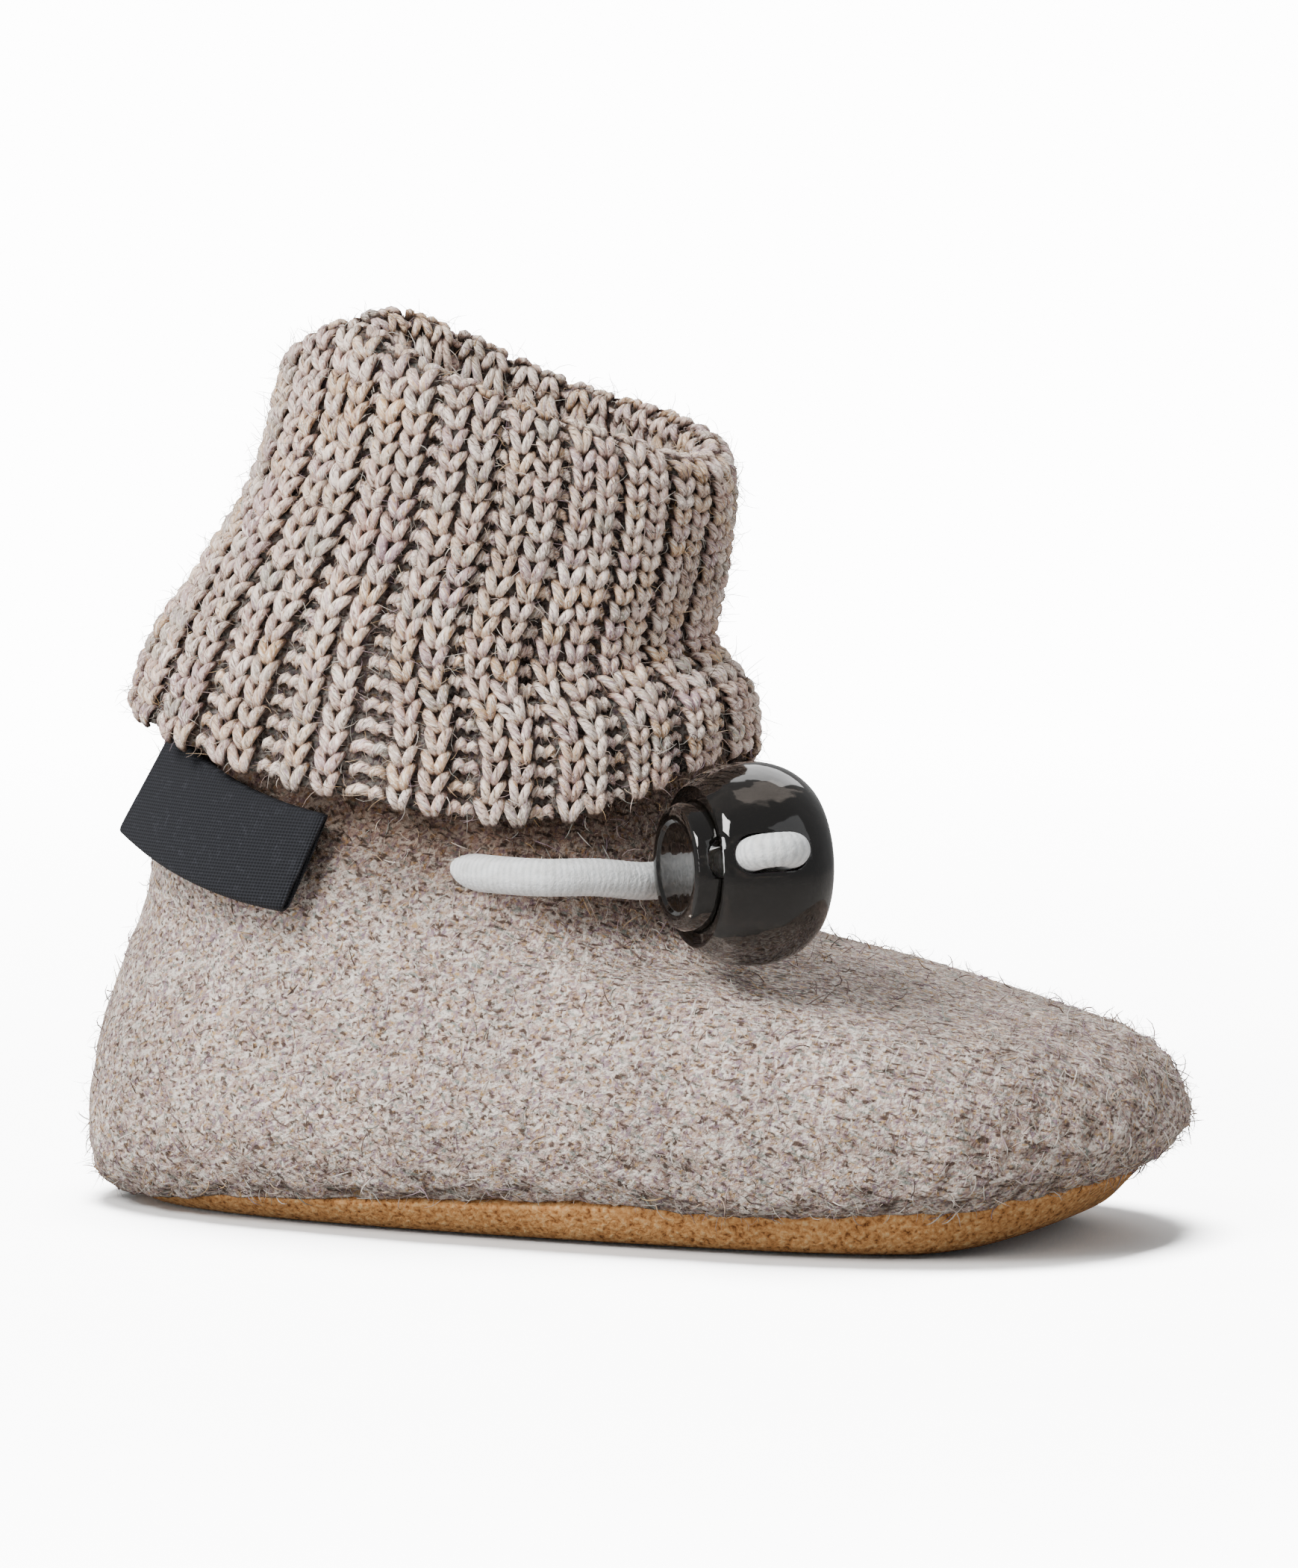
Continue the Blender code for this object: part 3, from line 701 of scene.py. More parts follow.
@dataclass(frozen=True)
class Suede:
    """Tan suede with a short nap."""

    name: str = "tan suede"

    def make(self) -> Material:
        """Builds the material.

        Returns:
            The finished material.
        """
        material, bench, shader, place = shader_tree(self.name)
        grain = bench.noise(place, 0.00062, 3.0, 0.62, 0.3)
        tone = bench.ramp(grain, [(0.30, (0.200, 0.074, 0.021)), (0.43, (0.580, 0.262, 0.090)),
                                  (0.57, (0.790, 0.420, 0.165)), (0.72, (0.940, 0.640, 0.320))])
        brushed = bench.noise(place, 0.012, 2.0, 0.5, 0.6)
        light = bench.ramp(brushed, [(0.3, (0.86, 0.84, 0.82)), (0.7, grey(1.06))])
        bench.join(bench.multiply(tone, light), shader.inputs["Base Color"])
        heights = [(grain, 1.0), (bench.noise(place, 0.0016, 2.0, 0.5), 0.5)]
        bench.join(bench.bump(bench.sum(heights), 0.00022), shader.inputs["Normal"])
        bench.values(shader, {"Roughness": 0.88, "Specular IOR Level": 0.15,
                              "Sheen Weight": 0.08, "Sheen Roughness": 0.5,
                              "Sheen Tint": (0.95, 0.72, 0.45, 1.0)})
        return material


@dataclass(frozen=True)
class BraidedElastic:
    """Pale grey braid over rubber, its ribs running round the cord."""

    name: str = "pale elastic"

    def make(self) -> Material:
        """Builds the material.

        Returns:
            The finished material.
        """
        material, bench, shader, place = shader_tree(self.name)
        # By the stored relief the braid gets painted shade in its grooves and is paler on its ribs
        tone = bench.ramp(bench.stored("relief"), [
            (0.0, (0.62, 0.65, 0.67)), (0.5, (0.83, 0.86, 0.88)), (1.0, (0.92, 0.94, 0.95))])
        lint = bench.noise(place, 0.0012, 3.0, 0.65, 0.5)
        shade = bench.ramp(lint, [(0.32, (0.84, 0.83, 0.81)), (0.62, grey(1.04))])
        bench.join(bench.multiply(tone, shade), shader.inputs["Base Color"])
        fine = bench.noise(place, 0.00035, 2.0, 0.6)
        bench.join(bench.bump(fine, 0.00012), shader.inputs["Normal"])
        bench.values(shader, {"Roughness": 0.78, "Sheen Weight": 0.12, "Sheen Roughness": 0.45})
        return material


@dataclass(frozen=True)
class SmokePlastic:
    """Clear plastic with a dark smoke tint."""

    name: str = "smoke plastic"
    tint: tuple = (0.036, 0.031, 0.027)

    def make(self) -> Material:
        """Builds the material.

        Returns:
            The finished material.
        """
        material, bench, shader, place = shader_tree(self.name)
        streaks = bench.noise(place, 0.004, 2.0, 0.5, 0.6)
        dark, light = (tuple(part * share for part in self.tint) for share in (0.86, 1.14))
        bench.join(bench.ramp(streaks, [(0.35, dark), (0.65, light)]), shader.inputs["Base Color"])
        scuffs = bench.noise(place, 0.0016, 3.0, 0.6)
        rough = bench.ramp(scuffs, [(0.45, grey(0.025)), (0.75, grey(0.075))])
        bench.join(rough, shader.inputs["Roughness"])
        flow = bench.noise(place, 0.0035, 2.0, 0.5)
        bench.join(bench.bump(flow, 0.00012), shader.inputs["Normal"])
        bench.values(shader, {"IOR": 1.50, "Transmission Weight": 0.93, "Coat Weight": 0.15,
                              "Coat Roughness": 0.03})
        return material


@dataclass(frozen=True)
class SpringSteel:
    """Drawn steel wire."""

    name: str = "drawn wire"

    def make(self) -> Material:
        """Builds the material.

        Returns:
            The finished material.
        """
        material, bench, shader, place = shader_tree(self.name)
        drawn = bench.noise(place, 0.0006, 2.0, 0.6)
        tone = bench.ramp(drawn, [(0.3, (0.50, 0.49, 0.47)), (0.7, (0.70, 0.69, 0.67))])
        bench.join(tone, shader.inputs["Base Color"])
        bench.values(shader, {"Metallic": 1.0, "Roughness": 0.28})
        return material


@dataclass(frozen=True)
class WovenTape:
    """Near-black woven label tape, bare of any print."""

    name: str = "woven tape"
    pick: float = 0.00034

    def make(self) -> Material:
        """Builds the material.

        Returns:
            The finished material.
        """
        material, bench, shader, place = shader_tree(self.name)
        weave = bench.sum([(bench.zigzag(bench.sum([(axis, MM / self.pick)])), 1.0)
                           for axis in bench.cloth_axes()])
        tone = bench.ramp(weave, [(0.15, (0.005, 0.0055, 0.008)), (0.75, (0.022, 0.024, 0.031))])
        dust = bench.noise(place, 0.0010, 3.0, 0.65, 0.8)
        lint = bench.ramp(dust, [(0.55, grey(0.9)), (0.78, (1.9, 1.85, 1.8))])
        bench.join(bench.multiply(tone, lint), shader.inputs["Base Color"])
        bench.join(bench.bump(weave, 0.00016), shader.inputs["Normal"])
        bench.values(shader, {"Roughness": 0.72, "Specular IOR Level": 0.25, "Sheen Weight": 0.02})
        return material


class Finishes:
    """Every material of the slipper, made once."""

    def __init__(self) -> None:
        """Builds the materials."""
        # Painted shade for the felt by its stored relief: under the cuff's hem, in the front
        # crease, in its loops' pits and on the lining
        hidden = ((0.0, (0.22, 0.17, 0.14)), (1.0, grey(1.0)))
        # Painted shade in the gaps between the yarn's strands, and painted highlight above 1.0 on
        # their crests
        yarn_shade_and_highlight = ((0.10, (0.050, 0.036, 0.029)), (0.50, (0.28, 0.23, 0.205)),
                (0.85, (1.02, 0.98, 0.95)), (1.0, (1.24, 1.22, 1.20)))
        self.felt = MelangeWool("boiled wool", relief=0.00042, painted_light_ramp=hidden).make()
        self.yarn = MelangeWool("melange yarn", fibre=0.0008, relief=0.00026, cover=0.88,
                                shade=1.16, painted_light_ramp=yarn_shade_and_highlight, spun=True).make()
        # The knit ground: a near-black sheet behind the stitches, painted shade for the hollows
        # between them
        self.painted_shade_backing = MelangeWool("knit ground in painted shade", relief=0.0003, shade=0.20, sheen=0.0).make()
        self.insole = MelangeWool("insole wool", shade=0.78, cover=0.6).make()
        self.hairs = LooseFibre().make()
        self.suede = Suede().make()
        self.elastic = BraidedElastic().make()
        self.smoke = SmokePlastic().make()
        self.steel = SpringSteel().make()
        self.tape = WovenTape().make()


class NodeGroup:
    """A Geometry Nodes tree with named inputs, run on one object."""

    def __init__(self, name: str, inputs: list) -> None:
        """Starts the tree.

        Args:
            name: the tree's name.
            inputs: pairs of name and Kind, after the geometry.
        """
        self.tree = bpy.data.node_groups.new(name, "GeometryNodeTree")
        self.bench = NodeBench(self.tree)
        self.keys = {}
        face = self.tree.interface
        face.new_socket("Geometry", in_out="INPUT", socket_type=Kind.GEOMETRY.value)
        for label, kind in inputs:
            socket = face.new_socket(label, in_out="INPUT", socket_type=kind.value)
            self.keys[label] = socket.identifier
        face.new_socket("Geometry", in_out="OUTPUT", socket_type=Kind.GEOMETRY.value)
        self.given = self.bench.add("NodeGroupInput").outputs
        self.result = self.bench.add("NodeGroupOutput").inputs["Geometry"]

    def random(self, low: object, high: object, shift: int) -> NodeSocket:
        """A random number or vector for each item, drawn from the tree's seed.

        Args:
            low: least value: a number, a socket or, for a vector, a tuple.
            high: greatest value.
            shift: keeps this draw apart from the others.

        Returns:
            The number's or the vector's socket.
        """
        vector = isinstance(low, tuple)
        draw = self.bench.add("FunctionNodeRandomValue",
                              data_type="FLOAT_VECTOR" if vector else "FLOAT")
        for key, value in zip((0, 1) if vector else (2, 3), (low, high)):
            self.bench.value(draw, key, value)
        moved = self.bench.add("ShaderNodeMath", operation="ADD")
        self.bench.join(self.given["Seed"], moved.inputs[0])
        self.bench.value(moved, 1, float(shift))
        self.bench.join(moved.outputs[0], draw.inputs["Seed"])
        return draw.outputs[0 if vector else 1]

    def turned(self, rotation: NodeSocket, angles: NodeSocket) -> NodeSocket:
        """A rotation turned further about its own axes.

        Args:
            rotation: the rotation socket.
            angles: the vector socket of three angles.

        Returns:
            The new rotation's socket.
        """
        euler = self.bench.add("FunctionNodeEulerToRotation")
        self.bench.join(angles, euler.inputs[0])
        rotate = self.bench.add("FunctionNodeRotateRotation", rotation_space="LOCAL")
        self.bench.join(rotation, rotate.inputs["Rotation"])
        self.bench.join(euler.outputs[0], rotate.inputs["Rotate By"])
        return rotate.outputs[0]

    def finish(self, instances: NodeSocket) -> None:
        """Stores each item's tint, makes the items real and gives them their material.

        Args:
            instances: the items.
        """
        store = self.bench.add("GeometryNodeStoreNamedAttribute", data_type="FLOAT",
                               domain="INSTANCE")
        self.bench.join(instances, store.inputs["Geometry"])
        self.bench.value(store, "Name", "tint")
        self.bench.join(self.random(0.0, 1.0, 91), store.inputs["Value"])
        real = self.bench.add("GeometryNodeRealizeInstances")
        self.bench.join(store.outputs[0], real.inputs["Geometry"])
        dressed = self.bench.add("GeometryNodeSetMaterial")
        self.bench.join(real.outputs[0], dressed.inputs["Geometry"])
        self.bench.join(self.given["Material"], dressed.inputs["Material"])
        self.bench.join(dressed.outputs[0], self.result)

    def run(self, name: str, carrier: Mesh, values: dict) -> Object:
        """Runs the tree on a mesh.

        Args:
            name: the new piece's name.
            carrier: the mesh the tree reads.
            values: input names and values.

        Returns:
            The piece, with a plain mesh.
        """
        host = add_object(name, carrier)
        modifier = host.modifiers.new("grow", "NODES")
        modifier.node_group = self.tree
        for label, value in values.items():
            modifier[self.keys[label]] = value
        settle(host)
        host.data.materials.clear()
        host.data.materials.append(values["Material"])
        host.data.shade_smooth()
        return host


class FibreTree(NodeGroup):
    """Scatters hairs over a surface, each leaning and turned at random."""

    def __init__(self) -> None:
        """Builds the tree."""
        super().__init__("wool fibres", [
            ("Density", Kind.NUMBER), ("Hairs", Kind.PIECES), ("Least lean", Kind.NUMBER),
            ("Most lean", Kind.NUMBER), ("Least size", Kind.NUMBER), ("Most size", Kind.NUMBER),
            ("Seed", Kind.COUNT), ("Material", Kind.MATERIAL)])
        bench, given = self.bench, self.given
        cover = bench.add("GeometryNodeInputNamedAttribute", data_type="FLOAT")
        bench.value(cover, "Name", "cover")
        density = bench.add("ShaderNodeMath", operation="MULTIPLY")
        bench.values(density, {0: given["Density"], 1: cover.outputs[0]})
        scatter = bench.add("GeometryNodeDistributePointsOnFaces")
        bench.values(scatter, {"Mesh": given["Geometry"], "Density": density.outputs[0],
                               "Seed": given["Seed"]})
        turned = scatter.outputs["Rotation"]
        spin = self.random(0.0, FULL_TURN, 11)
        lean = self.random(given["Least lean"], given["Most lean"], 23)
        for axis, angle in (("Z", spin), ("X", lean)):
            angles = bench.add("ShaderNodeCombineXYZ")
            bench.join(angle, angles.inputs[axis])
            turned = self.turned(turned, angles.outputs[0])
        shapes = bench.add("GeometryNodeCollectionInfo")
        bench.values(shapes, {"Collection": given["Hairs"], "Separate Children": True,
                              "Reset Children": True})
        place = bench.add("GeometryNodeInstanceOnPoints")
        bench.values(place, {"Points": scatter.outputs["Points"], "Instance": shapes.outputs[0],
                             "Pick Instance": True, "Rotation": turned,
                             "Scale": self.random(given["Least size"], given["Most size"], 37)})
        self.finish(place.outputs[0])


class StitchTree(NodeGroup):
    """Sets one stitch on each point, by the point's own directions and size."""

    def __init__(self) -> None:
        """Builds the tree."""
        super().__init__("knit stitches", [
            ("Stitch", Kind.SHAPE), ("Unrest", Kind.NUMBER), ("Seed", Kind.COUNT),
            ("Material", Kind.MATERIAL)])
        bench, given = self.bench, self.given
        ways = {}
        for label in ("outward", "upward", "size"):
            node = bench.add("GeometryNodeInputNamedAttribute", data_type="FLOAT_VECTOR")
            bench.value(node, "Name", label)
            ways[label] = node.outputs[0]
        axes = bench.add("FunctionNodeAxesToRotation", primary_axis="Z", secondary_axis="Y")
        bench.values(axes, {0: ways["outward"], 1: ways["upward"]})
        sway = bench.add("ShaderNodeVectorMath", operation="SCALE")
        bench.values(sway, {0: self.random((-1.0,) * 3, (1.0,) * 3, 5), "Scale": given["Unrest"]})
        plump = bench.add("ShaderNodeVectorMath", operation="MULTIPLY")
        bench.values(plump, {0: ways["size"], 1: self.random((0.88,) * 3, (1.12,) * 3, 17)})
        shape = bench.add("GeometryNodeObjectInfo")
        bench.join(given["Stitch"], shape.inputs["Object"])
        place = bench.add("GeometryNodeInstanceOnPoints")
        bench.values(place, {"Points": given["Geometry"], "Instance": shape.outputs["Geometry"],
                             "Rotation": self.turned(axes.outputs[0], sway.outputs[0]),
                             "Scale": plump.outputs[0]})
        self.finish(place.outputs[0])


# Rings of the felt from the sole's seam up to the collar: front, front rise, back, back rise,
# width, widest, dip and squareness, as shares of the foot's sizes
FELT_ROWS = [
    (0.900, 0.250, 0.63, 0.085, 0.47, 1.00, 0.00, 2.4),
    (0.960, 0.320, 0.90, 0.155, 0.80, 1.00, 0.00, 2.4),
    (0.997, 0.430, 1.00, 0.317, 0.98, 1.00, 0.00, 2.4),
    (0.990, 0.570, 0.97, 0.483, 1.00, 1.00, 0.00, 2.3),
    (0.945, 0.705, 0.87, 0.650, 0.91, 0.97, 0.00, 2.2),
    (0.845, 0.805, 0.73, 0.800, 0.75, 0.85, 0.00, 2.1),
    (0.683, 0.870, 0.62, 0.917, 0.62, 0.68, 0.00, 2.0),
    (0.490, 0.920, 0.53, 1.000, 0.52, 0.52, 0.02, 2.0),
    (0.308, 0.955, 0.46, 1.083, 0.44, 0.38, 0.04, 2.0),
    (0.163, 1.000, 0.40, 1.167, 0.36, 0.24, 0.08, 2.1),
    (0.069, 1.132, 0.34, 1.267, 0.26, 0.10, 0.17, 2.2),
    (0.027, 1.340, 0.28, 1.417, 0.17, 0.03, 0.32, 2.3),
    (0.012, 1.566, 0.22, 1.600, 0.05, 0.00, 0.52, 2.3),
    (0.004, 1.790, 0.14, 1.800, 0.01, 0.00, 0.76, 2.3),
    (0.000, 2.000, 0.00, 2.000, 0.00, 0.00, 1.00, 2.3),
]


@dataclass
class FootForm:
    """The felt foot's outside as a smooth surface of level and turn."""

    length: float = 0.120
    ball_width: float = 0.058
    instep: float = 0.030
    toe_bend: float = 0.0016
    ball_share: float = 0.65
    heel_fullness: float = 0.7
    ankle_setback: float = 0.0097
    ankle_length: float = 0.0583
    ankle_width: float = 0.044
    collar_back: float = 0.060
    collar_side: float = 0.050
    collar_front: float = 0.0565

    def __post_init__(self) -> None:
        """Works out the places that the other sizes give."""
        self.rows = np.array(FELT_ROWS)
        self.top = float(len(FELT_ROWS) - 1)
        self.heel = -self.length / 2
        self.toe = self.length / 2
        self.ankle_back = self.heel + self.ankle_setback
        self.ankle_front = self.ankle_back + self.ankle_length
        self.ankle_centre = (self.ankle_back + self.ankle_front) / 2
        self.ball = self.heel + self.ball_share * self.length

    def collar(self, turn: np.ndarray) -> np.ndarray:
        """Height of the collar's edge, from its front over its side to its back.

        Args:
            turn: angles round the foot.

        Returns:
            The heights.
        """
        along = np.cos(turn)
        ahead = mix(self.collar_side, self.collar_front, np.abs(along) ** 2.6)
        behind = mix(self.collar_side, self.collar_back, along ** 2)
        return np.where(along > 0, ahead, behind)

    def rise(self, share: np.ndarray, collar: float) -> np.ndarray:
        """Height for a rise: 1 is the instep, 2 the collar."""
        return np.where(share <= 1, share * self.instep, mix(self.instep, collar, share - 1))

    def ring(self, index: np.ndarray, turn: np.ndarray) -> np.ndarray:
        """Points of whole rings.

        Args:
            index: ring numbers.
            turn: angles, of the same shape.

        Returns:
            Points of that shape x 3.
        """
        values = np.moveaxis(self.rows[index], -1, 0)
        front_share, front_rise, back_share, back_rise, width, widest_share, dip, square = values
        front = mix(self.ankle_front, self.toe, front_share)
        back = mix(self.ankle_back, self.heel, back_share)
        widest = mix(self.ankle_centre, self.ball, widest_share)
        half_width = mix(self.ankle_width, self.ball_width, width) / 2
        behind = np.maximum(-np.cos(turn), 0.0)
        power = 2 / (square + self.heel_fullness * widest_share * behind)
        along = signed_power(np.cos(turn), power)
        across = signed_power(np.sin(turn), power)
        x = widest + along * np.where(along > 0, front - widest, widest - back)
        low = self.rise(back_rise, self.collar_back)
        high = self.rise(front_rise, self.collar_front)
        share = (x - back) / (front - back)
        full_dip = mix(self.collar_back, self.collar_front, share) - self.collar(turn)
        z = mix(low, high, share) - dip * full_dip
        bend = self.toe_bend * np.clip(x / self.toe, 0.0, 1.0) ** 2
        return np.stack([x, half_width * across + bend, z], axis=-1)

    def outside(self, level: np.ndarray, turn: np.ndarray) -> np.ndarray:
        """Points of the smooth outside.

        Args:
            level: ring numbers, whole or not.
            turn: angles, of the same shape.

        Returns:
            Points of that shape x 3.
        """
        level, turn = np.broadcast_arrays(level, turn)
        last = len(self.rows) - 1
        start = np.clip(np.floor(level).astype(int), 0, last - 1)
        around = [self.ring(np.clip(start + step, 0, last), turn) for step in (-1, 0, 1, 2)]
        return hermite(*around, (level - start)[..., None])

    def outward(self, level: np.ndarray, turn: np.ndarray) -> np.ndarray:
        """Directions square to the outside.

        Args:
            level: ring numbers.
            turn: angles.

        Returns:
            Vectors of length one.
        """
        reach = 0.02
        up = (self.outside(np.minimum(level + reach, self.top), turn)
              - self.outside(np.maximum(level - reach, 0.0), turn))
        side = self.outside(level, turn + reach) - self.outside(level, turn - reach)
        return unit(np.cross(side, up))


@dataclass(frozen=True)
class Coat:
    """A growth of hairs: how many to a square metre, how they lean and how long they are."""

    name: str
    density: float
    thick: bool
    lean: tuple
    size: tuple
    seed: int


FELT_NAP = Coat("felt_nap", 3.6e5, True, (1.05, 1.60), (0.6, 1.35), 7)
FELT_FUZZ = Coat("felt_fuzz", 3.4e5, False, (0.35, 1.35), (0.5, 1.3), 19)
ANKLE_STRAYS = Coat("ankle_strays", 3.0e5, False, (0.1, 1.2), (1.2, 2.6), 31)
CUFF_NAP = Coat("cuff_nap", 2.4e5, True, (1.15, 1.62), (0.45, 1.0), 47)
CUFF_FUZZ = Coat("cuff_fuzz", 6.5e5, False, (0.5, 1.5), (0.6, 1.6), 43)


@dataclass
class HairShapes:
    """A few curved wool hairs, thick and fine, and the tree that scatters them."""

    curl_length: float = 0.0021
    curl_radius: float = 0.000062
    fine_length: float = 0.0019
    fine_radius: float = 0.000024
    made: list = field(default_factory=list)

    def build(self) -> None:
        """Makes both sets of hairs and the tree."""
        self.tree = FibreTree()
        self.curls = self.bundle("curls", self.curl_length, self.curl_radius,
                                 (0.5, 0.9, -0.7, 1.3, -1.1))
        self.fine = self.bundle("fine hairs", self.fine_length, self.fine_radius,
                                (0.3, -0.5, 0.8, -0.9, 0.15))

    def bundle(self, name: str, length: float, radius: float, bends: tuple) -> Collection:
        """Makes a collection of hairs.

        Args:
            name: the collection's name.
            length: a hair's length.
            radius: its root's radius.
            bends: how far each hair curls.

        Returns:
            The collection.
        """
        bundle = bpy.data.collections.new(name)
        bpy.context.scene.collection.children.link(bundle)
        for number, bend in enumerate(bends):
            share = np.linspace(0.0, 1.0, 4)
            path = np.stack([
                bend * 0.42 * share ** 2,
                0.16 * np.sin(share * 3.0 + number) - 0.16 * math.sin(number),
                share * (1 - 0.22 * abs(bend) * share) - 0.04], axis=-1) * length
            radii = radius * np.array([1.0, 1.0, 0.8, 0.35])
            mesh = tube_mesh(name, path, radii, 3)
            hair = bpy.data.objects.new(f"{name} {number}", mesh)
            bundle.objects.link(hair)
            self.made.append(hair)
        self.made.append(bundle)
        return bundle

    def grow(self, coat: Coat, ground: Mesh, cover: np.ndarray, finish: Material) -> Object:
        """Grows a coat of hairs.

        Args:
            coat: what it is like.
            ground: the mesh it grows from.
            cover: share of hairs at each point.
            finish: the hairs' finish.

        Returns:
            The piece.
        """
        store(ground, "cover", cover)
        return self.tree.run(coat.name, ground, {
            "Density": coat.density, "Hairs": self.curls if coat.thick else self.fine,
            "Least lean": coat.lean[0], "Most lean": coat.lean[1], "Least size": coat.size[0],
            "Most size": coat.size[1], "Seed": coat.seed, "Material": finish})

    def clear(self) -> None:
        """Takes the single hairs out of the scene once they have been scattered."""
        for item in self.made:
            if isinstance(item, Object):
                bpy.data.objects.remove(item, do_unlink=True)
            else:
                bpy.data.collections.remove(item)


@dataclass
class FeltUpper:
    """The boiled-wool upper, with its nap."""

    form: FootForm
    cuff: "CuffForm"
    holes: np.ndarray
    wall: float = 0.0025
    columns: int = 384
    rings: int = 140
    lining_rings: int = 34
    heel_drop: float = 0.0017
    toe_drop: float = 0.0022
    seam_drop: float = 0.0016
    ankle_level: float = 11.2
    gather_depth: float = 0.00075
    loop_depth: tuple = (0.00009, 0.00050)
    lump_sizes: tuple = ((0.011, 11.0, 0.00040), (0.0040, 17.0, 0.00016))
    hole_dent: float = 0.0011
    hole_radius: float = 0.0034
    lip_height: float = 0.0006
    lip_radius: float = 0.0052
    lip_width: float = 0.0018
    # Strengths of the felt's painted shade: in the crease in front, under the cuff's hem (the
    # painted shadow reaching hem_reach below it), in the loops' pits and on the lining
    crease_shade: float = 0.84
    hem_shade: float = 0.96
    hem_reach: float = 0.0160
    pit_shade: float = 0.68
    lining_shade: float = 0.6

    def edge(self, points: np.ndarray, level: np.ndarray) -> np.ndarray:
        """How coarse the felt is: most along the sole and over the toe."""
        low = smooth_step(3.0, 0.5, level)
        return np.clip(low + smooth_step(0.034, 0.054, points[..., 0]), 0.0, 1.0)

    def loops(self, points: np.ndarray) -> np.ndarray:
        """The knit's loops that still show through the felt."""
        return lumps(points, 0.0019, 29.0)

    def sculpt(self, level: np.ndarray, turn: np.ndarray) -> np.ndarray:
        """The outside with its dents, gathers and felted lumps.

        Args:
            level: ring numbers.
            turn: angles.

        Returns:
            Points.
        """
        points = self.form.outside(level, turn)
        out = self.form.outward(level, turn)
        waist = np.exp(-((level - self.ankle_level) / 1.5) ** 2)
        height = lumps(points * np.array([1.0, 1.0, 0.22]), 0.0075, 3.0) * self.gather_depth * waist
        for period, seed, depth in self.lump_sizes:
            height = height + lumps(points, period, seed) * depth
        height = height + self.loops(points) * mix(*self.loop_depth, self.edge(points, level))
        for hole in self.holes:
            away = np.linalg.norm(points - hole, axis=-1)
            height = height - self.hole_dent * np.exp(-(away / self.hole_radius) ** 2)
            lip = (away - self.lip_radius) / self.lip_width
            height = height + self.lip_height * np.exp(-lip ** 2)
        points = points + out * height[..., None]
        points[..., 2] -= (self.toe_drop * smooth_step(0.008, 0.044, points[..., 0])
                           * smooth_step(0.008, 0.020, points[..., 2]))
        hang = smooth_step(0.004, 0.022, points[..., 0]) * smooth_step(0.056, 0.042, points[..., 0])
        points[..., 2] -= self.seam_drop * hang * smooth_step(3.2, 1.0, level)
        behind = np.clip(-np.cos(turn), 0.0, 1.0) ** 2 * np.clip(1 - level / 2.2, 0.0, 1.0)
        points[..., 2] -= self.heel_drop * behind
        points[..., 0] -= 0.0007 * behind
        points[..., 2] = np.maximum(points[..., 2], 0.0004)
        return points

    @cached_property
    def surface(self) -> tuple:
        """The outside grid.

        Returns:
            Its points, levels and turns.
        """
        turn = FULL_TURN * np.arange(self.columns) / self.columns
        level = np.linspace(0.0, self.form.top, self.rings)
        level, turn = np.meshgrid(level, turn, indexing="ij")
        return self.sculpt(level, turn), level, turn

    def build(self, felt: Material) -> Object:
        """Makes the upper: outside, rolled collar edge and lining, closed at the sole's seam.

        Args:
            felt: its finish.

        Returns:
            The piece.
        """
        points, outer_level, turn = self.surface
        level = np.linspace(self.form.top, 0.0, self.lining_rings)
        level, inner_turn = np.meshgrid(level, turn[0], indexing="ij")
        lining = self.form.outside(level, inner_turn)
        lining = lining - self.form.outward(level, inner_turn) * self.wall
        lining[..., 2] -= self.toe_drop * smooth_step(0.008, 0.044, lining[..., 0])
        lining[..., 2] = np.maximum(lining[..., 2], 0.0022)
        mesh = grid_mesh("felt_upper", np.concatenate([points, lining], axis=0), close_rows=True)
        # The relief attribute carries painted shade: from light() on the outside, and an even
        # painted shade on the lining
        store(mesh, "relief", np.concatenate([self.light(points, outer_level, turn),
                                              np.full(level.shape, self.lining_shade)]))
        return add_piece("felt_upper", mesh, felt)

    def light(self, points: np.ndarray, level: np.ndarray, turn: np.ndarray) -> np.ndarray:
        """The felt's painted shade as a share of full light: least under the cuff's hem, in the
        crease in front and in the pits of its loops.

        Args:
            points: the outside grid.
            level: ring numbers.
            turn: angles.

        Returns:
            Shares from 0 to 1.
        """
        front = smooth_step(0.3, 0.9, np.cos(turn))
        crease = smooth_step(8.8, 11.0, level) * front
        below = self.cuff.hem(turn) - 0.0012 - points[..., 2]
        hem = smooth_step(self.hem_reach, 0.0, below)
        pits = self.edge(points, level) * np.clip(-2.2 * self.loops(points), 0.0, 1.0)
        # Painted shade of the front crease and painted shadow under the hem, then painted shade in
        # the pits
        hidden = np.maximum(self.crease_shade * crease, self.hem_shade * hem)
        return 1.0 - np.maximum(hidden, self.pit_shade * pits)

    def grow(self, hairs: HairShapes, finish: Material) -> list:
        """Grows the pressed nap, the standing fuzz and the long strays of the ankle.

        Args:
            hairs: the hair shapes.
            finish: the hairs' finish.

        Returns:
            The pieces.
        """
        points, level, turn = self.surface
        shown = smooth_step(13.4, 12.4, level) * smooth_step(0.0010, 0.0040, points[..., 2])
        edge = self.edge(points, level)
        front = np.exp(-((level - 10.4) / 1.3) ** 2) * smooth_step(0.1, 0.8, np.cos(turn))
        pieces = []
        for coat, cover in ((FELT_NAP, shown * (0.8 + 0.6 * edge)),
                            (FELT_FUZZ, shown * (0.75 + 0.9 * edge)), (ANKLE_STRAYS, front)):
            piece = hairs.grow(coat, grid_mesh("felt_ground", points), cover, finish)
            places = read_points(piece.data)
            places[:, 2] = np.maximum(places[:, 2], FLOOR_CLEARANCE)
            write_points(piece.data, places)
            pieces.append(piece)
        return pieces


